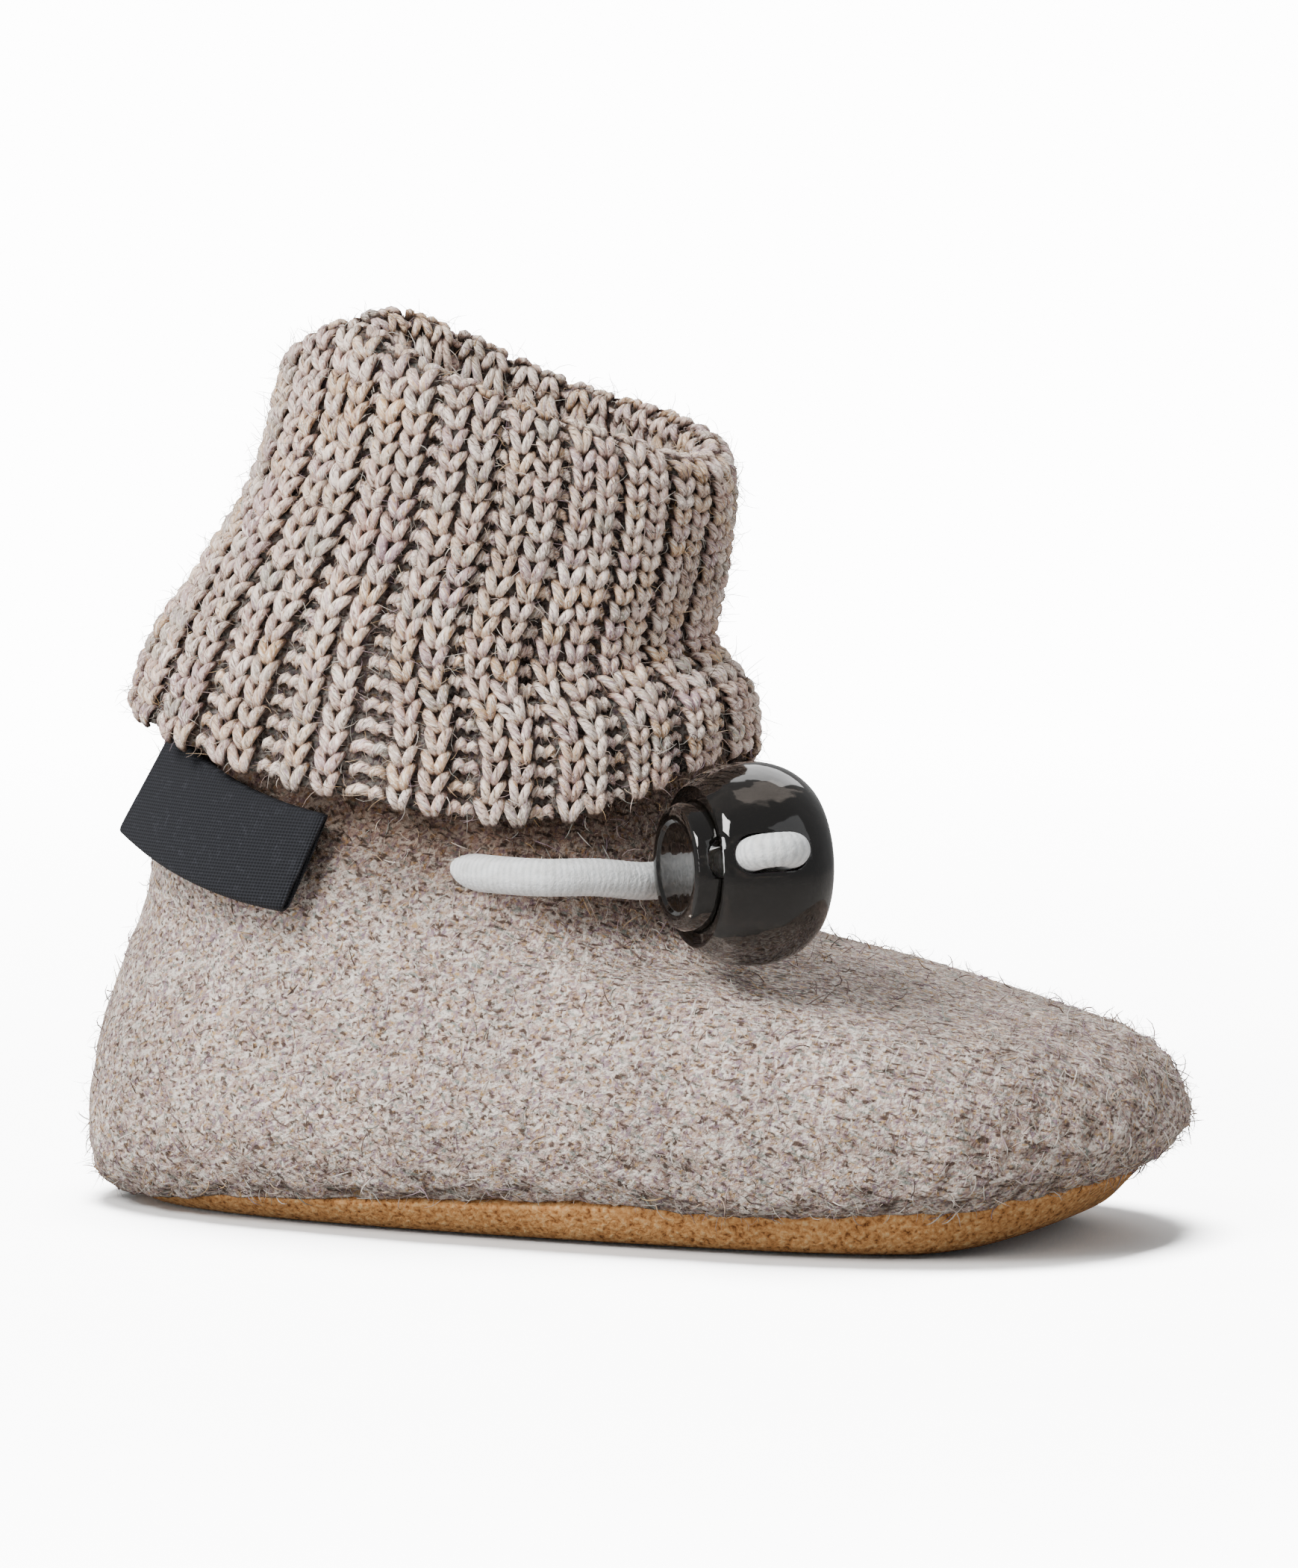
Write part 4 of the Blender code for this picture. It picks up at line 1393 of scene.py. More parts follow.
# Levels of the cuff's outside: share of the height, then front, back and side as shares of the
# ankle's half length and half width
CUFF_LEVELS = [
    (0.00, 0.990, 1.051, 1.010),
    (0.20, 0.973, 0.955, 0.964),
    (0.36, 0.832, 0.811, 0.909),
    (0.60, 0.887, 0.605, 0.855),
    (0.85, 0.921, 0.503, 0.810),
    (1.00, 0.904, 0.468, 0.777),
]


# Heights of the cuff, from its back to its front: the cosine of the turn, the rim's near and
# far side and the hem
CUFF_HEIGHTS = [
    (-1.00, 0.0910, 0.0910, 0.0540),
    (-0.90, 0.0919, 0.0953, 0.0533),
    (-0.75, 0.0942, 0.0947, 0.0522),
    (-0.50, 0.0968, 0.0918, 0.0503),
    (-0.29, 0.0952, 0.0892, 0.0486),
    (-0.10, 0.0925, 0.0875, 0.0472),
    (0.10, 0.0908, 0.0861, 0.0460),
    (0.35, 0.0886, 0.0850, 0.0447),
    (0.55, 0.0868, 0.0843, 0.0442),
    (0.79, 0.0847, 0.0832, 0.0461),
    (0.92, 0.0830, 0.0824, 0.0487),
    (1.00, 0.0815, 0.0815, 0.0500),
]


@dataclass
class CuffForm:
    """The folded rib knit as one sheet of row and turn, from the hem over the rim and down."""

    foot: FootForm
    knit: float = 0.0012
    inner_knit: float = 0.0018
    rib_depth: float = 0.0010
    ribs: int = 22
    hem_square: float = 2.3
    rim_square: float = 2.0
    layer_gap: float = 0.0020
    fold_gap: float = 0.0007
    fold_height: float = 0.0028
    outer_rows: int = 19
    fold_rows: int = 3
    throat_rows: int = 12
    felt: float = 0.0025
    fold_ease: float = 0.35
    throat_ease: float = 0.75
    fold_dip: float = 0.0006
    softness: float = 0.00055

    def height_at(self, turn: np.ndarray, column: int) -> np.ndarray:
        """A height from the table, eased over its corners.

        Args:
            turn: angles.
            column: which of the table's heights.

        Returns:
            The heights.
        """
        table = np.array(CUFF_HEIGHTS)
        near = [np.interp(np.cos(turn + shift), table[:, 0], table[:, column])
                for shift in (-0.18, -0.09, 0.0, 0.09, 0.18)]
        return np.mean(near, axis=0)

    def hem(self, turn: np.ndarray) -> np.ndarray:
        """Height of the hem."""
        return self.height_at(turn, 3)

    def rim(self, turn: np.ndarray) -> np.ndarray:
        """Height of the rim, which is lower on the far side."""
        near, far = self.height_at(turn, 1), self.height_at(turn, 2)
        return mix(near, far, smooth_step(-0.5, 0.5, np.sin(turn)))

    def phase(self, turn: np.ndarray) -> np.ndarray:
        """Where a turn lies in its rib: 0 on the rib's middle, half in the hollow's."""
        place = turn * self.ribs / FULL_TURN - 0.125
        return place - np.round(place)

    def rib_turn(self, rib: np.ndarray, phase: np.ndarray) -> np.ndarray:
        """The turn of a phase in a rib."""
        return FULL_TURN * (rib + phase + 0.125) / self.ribs

    def pair_share(self, height: np.ndarray) -> np.ndarray:
        """Share of a rib's period that its two knit wales take: more near the drawn-in rim."""
        return mix(0.68, 0.84, smooth_step(0.05, 0.55, height))

    def hollow(self, turn: np.ndarray, height: np.ndarray) -> np.ndarray:
        """How far a turn lies in a hollow, from 0 to 1."""
        half = self.pair_share(height) / 2
        return smooth_step(0.0, 1.0, (np.abs(self.phase(turn)) - half + 0.10) / 0.17)

    def wall(self, height: np.ndarray) -> np.ndarray:
        """Thickness of both layers together."""
        gap = mix(self.layer_gap, self.fold_gap, np.clip(height, 0.0, 1.0) ** 2)
        return self.knit + self.rib_depth + gap + self.inner_knit

    def plan(self, z: np.ndarray, turn: np.ndarray, depth: np.ndarray) -> np.ndarray:
        """A point at a height and a depth inside the outer face.

        Args:
            z: heights.
            turn: angles.
            depth: distances inwards.

        Returns:
            Points.
        """
        hem = self.hem(turn)
        share = np.clip((z - hem) / (self.rim(turn) - hem), 0.0, 1.0)
        table = np.array(CUFF_LEVELS)
        start = np.clip(np.searchsorted(table[:, 0], share, side="right") - 1, 0, len(table) - 2)
        t = (share - table[start, 0]) / (table[start + 1, 0] - table[start, 0])
        around = [table[np.clip(start + step, 0, len(table) - 1), 1:] for step in (-1, 0, 1, 2)]
        front, back, side = np.moveaxis(hermite(*around, t[..., None]), -1, 0)
        stand_off = self.knit + self.rib_depth + self.layer_gap
        half = self.foot.ankle_length / 2
        half_length = half * (front + back) / 2 + stand_off - depth
        half_width = self.foot.ankle_width / 2 * side + stand_off - depth
        centre = self.foot.ankle_centre + half * (front - back) / 2
        power = 2 / mix(self.hem_square, self.rim_square, share)
        return np.stack([centre + half_length * signed_power(np.cos(turn), power),
                         half_width * signed_power(np.sin(turn), power), z], axis=-1)

    def seat(self, turn: np.ndarray, inset: float) -> np.ndarray:
        """The inner layer's lower edge on the felt's collar.

        Args:
            turn: angles.
            inset: how far inside the felt's outside.

        Returns:
            Points.
        """
        top = np.full_like(turn, self.foot.top)
        edge = self.foot.outside(top, turn)
        along = self.foot.outside(top, turn + 0.02) - self.foot.outside(top, turn - 0.02)
        inward = unit(np.stack([-along[..., 1], along[..., 0], 0 * turn], axis=-1))
        return edge + inward * inset + np.array([0.0, 0.0, 0.0003])

    def sheet(self, row: np.ndarray, turn: np.ndarray, sink: object = 0.0) -> np.ndarray:
        """The knit's visible face.

        Args:
            row: stitch rows from the hem, on over the fold and down the throat.
            turn: angles.
            sink: how far inside the face.

        Returns:
            Points.
        """
        row, turn = np.broadcast_arrays(np.asarray(row, float), np.asarray(turn, float))
        sway = 0.006 * np.sin(row * 0.42 + 5.0 * turn) + 0.005 * np.sin(row * 0.19 - 3.0 * turn)
        turn = turn + sway * smooth_step(0.0, 4.0, row)
        hem, rim = self.hem(turn), self.rim(turn)
        fold_start = rim - self.fold_height
        ring = self.outer_rows + self.fold_rows
        climb = np.clip(row / self.outer_rows, 0.0, 1.0)
        over = np.clip((row - self.outer_rows) / self.fold_rows, 0.0, 1.0) * math.pi
        down = np.clip((row - ring) / self.throat_rows, 0.0, 1.0)
        z = mix(hem, fold_start, climb) + (rim - fold_start) * np.sin(over)
        z = mix(z, self.foot.collar(turn) + 0.0008, down)
        height = (z - hem) / (rim - hem)
        hollow = self.hollow(turn, height)
        crown = np.sin(over)
        rib = self.rib_depth * (1.0 - self.fold_ease * crown) * (1 - self.throat_ease * down)
        wall = self.wall(height) - 2 * sink
        depth = sink + wall * (1 - np.cos(over)) / 2
        depth = depth + rib * hollow * np.cos(over)
        z = z - self.fold_dip * crown * hollow - sink * crown
        points = self.plan(z, turn, depth)
        seat = self.seat(turn, (self.felt - self.inner_knit) / 2 + self.inner_knit)
        seated = smooth_step(0.55, 1.0, down)[..., None]
        points = mix(points, seat, seated)
        soft = lumps(points, 0.014, 5.0) * self.softness * np.clip(climb * 6, 0, 1) * (1 - down)
        away = unit(points * np.array([1.0, 1.0, 0.0])
                    - np.array([self.foot.ankle_centre, 0.0, 0.0]))
        return points + away * (soft * np.cos(over))[..., None]


@dataclass
class RibCuff:
    """The knit cuff: its ground sheet, its stitches and its fuzz."""

    form: CuffForm
    ground_sink: float = 0.00085
    crown_sink: float = 0.00050
    stitch_sink: float = 0.00050
    crest: float = 0.00014
    stitch_width: float = 0.0023
    stitch_height: float = 0.00225
    fold_squeeze: float = 0.24
    unrest: float = 0.14

    def ground(self, painted_shade_backing: Material) -> Object:
        """The dark ground behind the stitches, closed through both layers; its dark colour is
        painted shade for the hollows between the stitches.

        Args:
            painted_shade_backing: its finish.

        Returns:
            The piece.
        """
        form = self.form
        turn = FULL_TURN * np.arange(form.ribs * 14) / (form.ribs * 14)
        folded = form.outer_rows + form.fold_rows
        rows = np.concatenate([np.linspace(0.0, form.outer_rows, 30),
                               np.linspace(form.outer_rows, folded, 9)[1:],
                               np.linspace(folded, folded + form.throat_rows, 14)[1:]])
        row_grid, turn_grid = np.meshgrid(rows, turn, indexing="ij")
        over = np.clip((row_grid - form.outer_rows + 1.0) / (form.fold_rows + 2.0), 0.0, 1.0)
        sink = mix(self.ground_sink, self.crown_sink, np.sin(over * math.pi))
        shown = form.sheet(row_grid, turn_grid, sink)
        hem, rim, collar = form.hem(turn), form.rim(turn), form.foot.collar(turn)
        hidden = [form.seat(turn, (form.felt - form.inner_knit) / 2)]
        for share in (0.3, 0.6, 0.85):
            z = mix(collar + 0.0003, rim, share)
            height = (z - hem) / (rim - hem)
            hidden.append(form.plan(z, turn, form.wall(height) - form.inner_knit))
        for share in (0.88, 0.65, 0.36, 0.25, 0.12, 0.0):
            z = mix(hem, rim, share)
            hidden.append(form.plan(z, turn, np.full_like(turn, form.knit + form.rib_depth)))
        grid = np.concatenate([shown, np.stack(hidden)], axis=0)
        return add_piece("cuff_ground", grid_mesh("cuff_ground", grid, close_rows=True), painted_shade_backing)

    def strand(self, path: list, radii: list, rings: int, sides: int) -> Mesh:
        """One strand of a stitch, in its nominal size.

        Args:
            path: points in millimetres: sideways, up the wale and outwards.
            radii: radii in millimetres.
            rings: how many rings the strand gets.
            sides: faces around.

        Returns:
            The strand's mesh.
        """
        points, widths = np.array(path), np.array(radii)
        place = np.linspace(0, len(points) - 1, rings)
        start = np.clip(place.astype(int), 0, len(points) - 2)
        last = len(points) - 1
        around = [np.clip(start + step, 0, last) for step in (-1, 0, 1, 2)]
        t = place - start
        curve = hermite(*(points[k] for k in around), t[:, None])
        width = hermite(*(widths[k] for k in around), t)
        return tube_mesh("strand", curve * MM, width * MM, sides)

    def join_strands(self, name: str, strands: list) -> Object:
        """Joins strands to one stitch with its "relief" attribute, the strands' height, which
        drives painted shade low in the stitch and painted highlight on its crest.

        Args:
            name: the stitch's name.
            strands: their meshes.

        Returns:
            The stitch, which stays out of the finished slipper.
        """
        mesh = bpy.data.meshes.new(name)
        with reworked(mesh) as work:
            for strand in strands:
                work.from_mesh(strand)
        heights = np.array([vert.co.z for vert in mesh.vertices]) / MM
        # Stitch height stored as relief: low parts get painted shade, crests painted highlight
        store(mesh, "relief", np.clip((heights + 0.75) / 1.15, 0.0, 1.0))
        mesh.shade_smooth()
        return add_object(name, mesh)

    def knit_stitch(self) -> Object:
        """A knit stitch: two plump legs that open upwards.

        Returns:
            The stitch.
        """
        legs = []
        for side in (-1, 1):
            path = [(side * 0.20, -1.30, -0.60), (side * 0.28, -0.75, 0.02),
                    (side * 0.46, 0.00, 0.24), (side * 0.68, 0.80, 0.12),
                    (side * 0.86, 1.40, -0.32), (side * 0.90, 1.75, -0.85)]
            legs.append(self.strand(path, [0.30, 0.41, 0.47, 0.46, 0.36, 0.22], 7, 6))
        return self.join_strands("knit stitch", legs)

    def purl_stitch(self) -> Object:
        """A purl stitch: one low arch across its wale.

        Returns:
            The stitch.
        """
        path = [(-1.20, -0.50, -0.35), (-0.68, 0.05, 0.10), (0.0, 0.30, 0.24),
                (0.68, 0.05, 0.10), (1.20, -0.50, -0.35)]
        return self.join_strands("purl stitch",
                                 [self.strand(path, [0.48, 0.62, 0.68, 0.62, 0.48], 5, 6)])

    def points(self, rows: np.ndarray, purl: bool) -> Mesh:
        """The points that stitches sit on, each with its directions and size.

        Args:
            rows: stitch rows.
            purl: whether these are the hollows' stitches.

        Returns:
            A mesh of loose points.
        """
        form = self.form
        rib, side, row = np.meshgrid(np.arange(form.ribs), (-1, 1), rows, indexing="ij")
        height = np.clip(row / form.outer_rows, 0.0, 1.0)
        pair = form.pair_share(height)
        phase = side * (pair / 2 + (1 - pair) / 4 if purl else pair / 4)
        width = (1 - pair) / 2 if purl else pair / 2
        turn = form.rib_turn(rib, phase)
        sink, reach, step = self.stitch_sink, 0.25, 0.01
        place = form.sheet(row, turn, sink)
        up = (form.sheet(row + reach, turn, sink)
              - form.sheet(row - reach, turn, sink)) / (2 * reach)
        beside = (form.sheet(row, turn + step, sink)
                  - form.sheet(row, turn - step, sink)) / (2 * step)
        mesh = bpy.data.meshes.new("stitch points")
        mesh.from_pydata(place.reshape(-1, 3).tolist(), [], [])
        pitch = np.linalg.norm(up, axis=-1)
        across = np.linalg.norm(beside, axis=-1) * FULL_TURN / form.ribs * width
        over = np.clip((row - form.outer_rows + 0.5) / (form.fold_rows + 1.0), 0.0, 1.0)
        wide = np.clip(across / self.stitch_width, 0.45, 1.35)
        squeeze = 1 - self.fold_squeeze * np.sin(over * math.pi)
        tall = np.clip(pitch / self.stitch_height, 0.55, 1.4) * squeeze
        size = np.stack([wide, tall, (wide + tall) / 2], axis=-1)
        for label, value in (("outward", unit(np.cross(beside, up))), ("upward", unit(up)),
                             ("size", size)):
            store(mesh, label, value, "FLOAT_VECTOR")
        return mesh

    def stitches(self, tree: StitchTree, yarn: Material) -> list:
        """Sets every stitch of the cuff.

        Args:
            tree: the tree that sets stitches.
            yarn: their finish.

        Returns:
            The outer stitches, the throat's and the hollows'.
        """
        form = self.form
        folded = form.outer_rows + form.fold_rows
        knit, purl = self.knit_stitch(), self.purl_stitch()
        rows = np.arange(folded + form.throat_rows - 1) + 0.35
        pieces = []
        for name, shape, chosen, seed in (("cuff_ribs", knit, rows[:folded], 3),
                                          ("throat_ribs", knit, rows[folded:], 5),
                                          ("cuff_hollows", purl, rows, 9)):
            pieces.append(tree.run(name, self.points(chosen, shape is purl), {
                "Stitch": shape, "Unrest": self.unrest, "Seed": seed, "Material": yarn}))
        for shape in (knit, purl):
            bpy.data.objects.remove(shape, do_unlink=True)
        return pieces

    def grow(self, hairs: HairShapes, finish: Material) -> list:
        """Grows the knit's fuzz and the hairs that lie on its yarn.

        Args:
            hairs: the hair shapes.
            finish: the hairs' finish.

        Returns:
            The pieces.
        """
        form = self.form
        turn = FULL_TURN * np.arange(form.ribs * 8) / (form.ribs * 8)
        rows = np.linspace(0.0, form.outer_rows + form.fold_rows + 3, 60)
        row_grid, turn_grid = np.meshgrid(rows, turn, indexing="ij")
        mesh = grid_mesh("knit_crests", form.sheet(row_grid, turn_grid, -self.crest))
        cover = 0.7 + 0.7 * smooth_step(2.0, 0.0, row_grid)
        return [hairs.grow(coat, mesh.copy(), cover, finish) for coat in (CUFF_NAP, CUFF_FUZZ)]


# The elastic's points: along and across from the ankle's centre as shares of its half length
# and half width, and up from the instep as a share of the collar's front
CORD_NEAR_SIDE = [
    (-0.914, 0.000, 0.434), (-0.825, -0.400, 0.426), (-0.592, -0.673, 0.415),
    (-0.286, -0.771, 0.380), (0.080, -0.791, 0.350), (0.330, -0.915, 0.332),
    (0.500, -1.030, 0.334), (0.690, -1.050, 0.334), (0.849, -0.912, 0.330),
]
CORD_FAR_SIDE = [
    (1.141, -0.205, 0.328), (1.137, 0.045, 0.343), (1.099, 0.336, 0.351),
    (1.007, 0.627, 0.355), (0.849, 0.873, 0.355), (0.640, 1.027, 0.355),
    (0.434, 1.032, 0.355), (0.228, 0.918, 0.362), (-0.029, 0.832, 0.377),
    (-0.321, 0.782, 0.396), (-0.612, 0.655, 0.415), (-0.828, 0.386, 0.426),
]
# Its points in the lock: along the button's axis and along the slot, in lock radii
CORD_IN_LOCK = [
    (-0.717, -1.038), (-0.491, -1.113), (-0.321, -1.104), (-0.236, -0.962), (-0.226, -0.660),
    (-0.226, 0.000), (-0.226, 0.708), (-0.231, 1.000), (-0.177, 1.130), (-0.047, 1.184),
    (0.083, 1.130), (0.137, 1.000), (0.132, 0.708), (0.132, 0.000), (0.132, -0.660),
    (0.123, -0.962), (0.160, -1.179),
]


@dataclass
class LockPlace:
    """Where the cord lock sits and how it is turned."""

    foot: FootForm
    forward: float = 0.0116
    outward: float = 0.0192
    above: float = 0.0108
    radius: float = 0.0106
    heading: float = math.radians(44)
    tilt: float = math.radians(14)

    def press(self) -> Vector:
        """The way the button is pressed."""
        return Vector((math.cos(self.heading), math.sin(self.heading), 0.0))

    def matrix(self) -> Matrix:
        """The lock's own frame: X is pressed, Z leaves the slot's outer face.

        Returns:
            Its matrix.
        """
        press = self.press()
        face = Vector((math.sin(self.heading) * math.cos(self.tilt),
                       -math.cos(self.heading) * math.cos(self.tilt), math.sin(self.tilt)))
        turn = Matrix((press, face.cross(press), face)).transposed().to_4x4()
        centre = Vector((self.foot.ankle_front + self.forward, -self.outward,
                         self.foot.instep + self.above))
        return Matrix.Translation(centre) @ turn


@dataclass
class ElasticCord:
    """The closed loop of braided elastic, through the felt and through the lock."""

    place: LockPlace
    radius: float = 0.0020
    squeezed: float = 0.9
    slot_first: int = 3
    steps: int = 30
    sides: int = 24
    rib_pitch: float = 0.00064
    rib_height: float = 0.018

    def route(self) -> tuple:
        """The cord's centre line.

        Returns:
            Its points and the share of the full radius at each.
        """
        foot = self.place.foot
        frame_of_lock = self.place.matrix()
        half = np.array([foot.ankle_length / 2, foot.ankle_width / 2,
                         foot.collar_front - foot.instep])
        start = np.array([foot.ankle_centre, 0.0, foot.instep])
        near = [start + np.array(share) * half for share in CORD_NEAR_SIDE]
        far = [start + np.array(share) * half for share in CORD_FAR_SIDE]
        inside = [np.array(frame_of_lock @ (Vector((x, 0, z)) * self.place.radius))
                  for x, z in CORD_IN_LOCK]
        points = np.array(near + inside + far)
        shares = np.array([1.0] * (len(near) + self.slot_first)
                          + [self.squeezed] * (len(inside) - self.slot_first - 1)
                          + [1.0] * (len(far) + 1))
        t = np.arange(self.steps)[None, :] / self.steps
        around = [np.roll(points, shift, axis=0)[:, None, :] for shift in (1, 0, -1, -2)]
        path = hermite(*around, t[..., None]).reshape(-1, 3)
        following = np.roll(shares, -1)[:, None]
        radii = mix(shares[:, None], np.minimum(shares[:, None], following), t).reshape(-1)
        return path, radii

    def build(self, finish: Material) -> Object:
        """Makes the cord with its braid.

        Args:
            finish: its finish.

        Returns:
            The piece.
        """
        path, shares = self.route()
        steps = np.linalg.norm(np.roll(path, -1, axis=0) - path, axis=1)
        along = np.concatenate([[0.0], np.cumsum(steps)[:-1]])
        ribs = round(steps.sum() / self.rib_pitch)
        turn = FULL_TURN * np.arange(self.sides) / self.sides
        phase = FULL_TURN * ribs * along / steps.sum()
        wave = np.cos(phase[:, None] + 0.9 * np.abs(np.sin(turn * 2))[None, :])
        plait = np.cos(turn * 8)[None, :]
        relief = 0.5 + 0.35 * wave + 0.15 * plait
        radii = self.radius * shares[:, None] * (0.985 + self.rib_height * relief)
        mesh = tube_mesh("elastic", path, radii, self.sides, closed=True)
        # The relief is also stored for the braid's painted shade in its grooves
        store(mesh, "relief", relief)
        return add_piece("braided_elastic", mesh, finish)


# The lock's round outside: share of its length from the mouth, share of its radius
LOCK_PROFILE = [
    (0.995, 0.52), (0.965, 0.66), (0.90, 0.80), (0.76, 0.93), (0.58, 1.0), (0.40, 1.0),
    (0.22, 0.955), (0.07, 0.875), (0.0, 0.80),
]


@dataclass
class CordLock:
    """The press-button ball lock: clear body, clear button and conical spring."""

    place: LockPlace
    length: float = 0.0135
    wall: float = 0.0010
    mouth_wall: float = 0.0009
    middle: float = -0.0005
    strand: float = 0.0019
    cord: float = 0.0018
    gap: float = 0.0003
    button_radius: float = 0.0067
    button_stand: float = 0.0021
    button_edge: float = 0.0007
    body_rounding: float = 0.00022
    button_rounding: float = 0.00018
    travel: float = 0.0018
    wire: float = 0.00025
    coils: float = 2.5
    around: int = 80

    def __post_init__(self) -> None:
        """Works out the places along the lock's axis."""
        half_slot = self.strand + self.cord + self.gap
        self.slot_start = self.middle - half_slot
        self.slot_end = self.middle + half_slot
        self.slot_half = self.cord + self.gap
        self.mouth = self.slot_start - self.mouth_wall
        self.far_end = self.mouth + self.length
        self.bore_end = self.far_end - self.wall
        self.button_face = self.mouth - self.button_stand
        self.button_end = self.slot_end + self.wall

    def turned(self, name: str, profile: list) -> Mesh:
        """A solid turned about the button's axis.

        Args:
            name: the mesh's name.
            profile: places along the axis and radii, from axis to axis.

        Returns:
            The closed mesh in the slipper's frame.
        """
        line = np.array(profile)
        turn = FULL_TURN * np.arange(self.around) / self.around
        grid = np.stack([np.broadcast_to(line[:, :1], (len(line), self.around)),
                         line[:, 1:] * np.cos(turn), line[:, 1:] * np.sin(turn)], axis=-1)
        mesh = grid_mesh(name, grid)
        mesh.transform(self.place.matrix())
        with reworked(mesh) as work:
            bmesh.ops.remove_doubles(work, verts=work.verts, dist=1e-7)
            bmesh.ops.dissolve_degenerate(work, edges=work.edges, dist=1e-8)
            bmesh.ops.recalc_face_normals(work, faces=work.faces)
        return mesh

    def rounded(self, corners: list, steps: int = 5) -> list:
        """A profile with a smooth curve through its points.

        Args:
            corners: share and radius pairs.
            steps: points for each stretch.

        Returns:
            The denser profile.
        """
        line = np.array(corners)
        last = len(line) - 1
        curve = []
        for k in range(last):
            around = [line[min(max(k + step, 0), last)] for step in (-1, 0, 1, 2)]
            curve += [hermite(*around, t / steps) for t in range(steps)]
        return curve + [line[-1]]

    def slot_cutter(self, start: float, end: float) -> Object:
        """An oblong with round ends along the axis, long enough to cut right through.

        Args:
            start, end: its ends along the axis.

        Returns:
            The cutter.
        """
        half = self.slot_half
        outline = []
        for centre, first in ((end - half, -0.5), (start + half, 0.5)):
            for k in range(13):
                angle = math.pi * (first + k / 12)
                outline.append((centre + half * math.cos(angle), half * math.sin(angle)))
        reach = 2 * self.place.radius
        mesh = bpy.data.meshes.new("slot")
        with reworked(mesh) as work:
            low, high = ([work.verts.new((x, y, z)) for x, y in outline] for z in (-reach, reach))
            work.faces.new(low)
            work.faces.new(high)
            for k in range(len(low)):
                following = (k + 1) % len(low)
                work.faces.new((low[k], low[following], high[following], high[k]))
            bmesh.ops.recalc_face_normals(work, faces=work.faces)
        mesh.transform(self.place.matrix())
        return add_object("slot", mesh)

    def cut_and_soften(self, piece: Object, cutter: Object, edge: float) -> Object:
        """Cuts the slot and rounds the edges.

        Args:
            piece: the solid.
            cutter: what is taken out of it.
            edge: the rounding's width.

        Returns:
            The finished piece.
        """
        slot = piece.modifiers.new("slot", "BOOLEAN")
        slot.operation = "DIFFERENCE"
        slot.solver = "EXACT"
        slot.object = cutter
        soften = piece.modifiers.new("soften", "BEVEL")
        soften.width = edge
        soften.segments = 3
        soften.limit_method = "ANGLE"
        soften.angle_limit = math.radians(34)
        settle(piece)
        bpy.data.objects.remove(cutter, do_unlink=True)
        piece.data.shade_smooth()
        piece.data.set_sharp_from_angle(angle=math.radians(38))
        return piece

    def body(self, smoke: Material) -> Object:
        """The ball-shaped housing.

        Args:
            smoke: its finish.

        Returns:
            The piece.
        """
        bore = self.button_radius + self.gap
        outside = [(self.mouth + share * self.length, radius * self.place.radius)
                   for share, radius in self.rounded(LOCK_PROFILE)]
        flat = [(self.far_end, 0.0), (self.far_end, 0.34 * self.place.radius)]
        inside = [(self.mouth + 0.0004, bore), (self.mouth + 0.004, bore),
                  (self.bore_end - self.wall / 2, bore), (self.bore_end, 0.72 * bore),
                  (self.bore_end, 0.0)]
        mesh = self.turned("lock_housing", flat + outside + inside)
        piece = add_piece("lock_housing", mesh, smoke)
        cutter = self.slot_cutter(self.slot_start, self.slot_end)
        return self.cut_and_soften(piece, cutter, self.body_rounding)

    def button(self, smoke: Material) -> Object:
        """The button, hollowed from its inner end, with a ring round its face.

        Args:
            smoke: its finish.

        Returns:
            The piece.
        """
        face, edge, radius = self.button_face, self.button_edge, self.button_radius
        profile = [(face + 0.0003, 0.0), (face + 0.0003, radius - 2.9 * edge),
                   (face, radius - 2.4 * edge), (face, radius - 1.4 * edge),
                   (face + 0.3 * edge, radius - 0.5 * edge), (face + 1.1 * edge, radius),
                   (self.button_end, radius), (self.button_end, 0.0)]
        mesh = self.turned("lock_button", profile)
        piece = add_piece("lock_button", mesh, smoke)
        cutter = self.slot_cutter(self.slot_start - self.travel, self.slot_end)
        return self.cut_and_soften(piece, cutter, self.button_rounding)

    def spring(self, steel: Material) -> Object:
        """The conical spring between the button and the housing's end.

        Args:
            steel: its finish.

        Returns:
            The piece.
        """
        start = self.button_end + self.gap + self.wire
        end = self.bore_end - self.gap - self.wire
        share = np.linspace(0.0, 1.0, 90)
        angle = FULL_TURN * self.coils * share
        radius = mix(0.76, 0.36, share) * self.button_radius
        path = np.stack([mix(start, end, share), radius * np.cos(angle),
                         radius * np.sin(angle)], axis=-1)
        mesh = tube_mesh("spring", path, np.full(len(path), self.wire), 8)
        mesh.transform(self.place.matrix())
        return add_piece("cone_spring", mesh, steel)

    def spring_anchor(self) -> Vector:
        """The spring's fixed end."""
        return self.place.matrix() @ Vector((self.bore_end - self.gap, 0.0, 0.0))


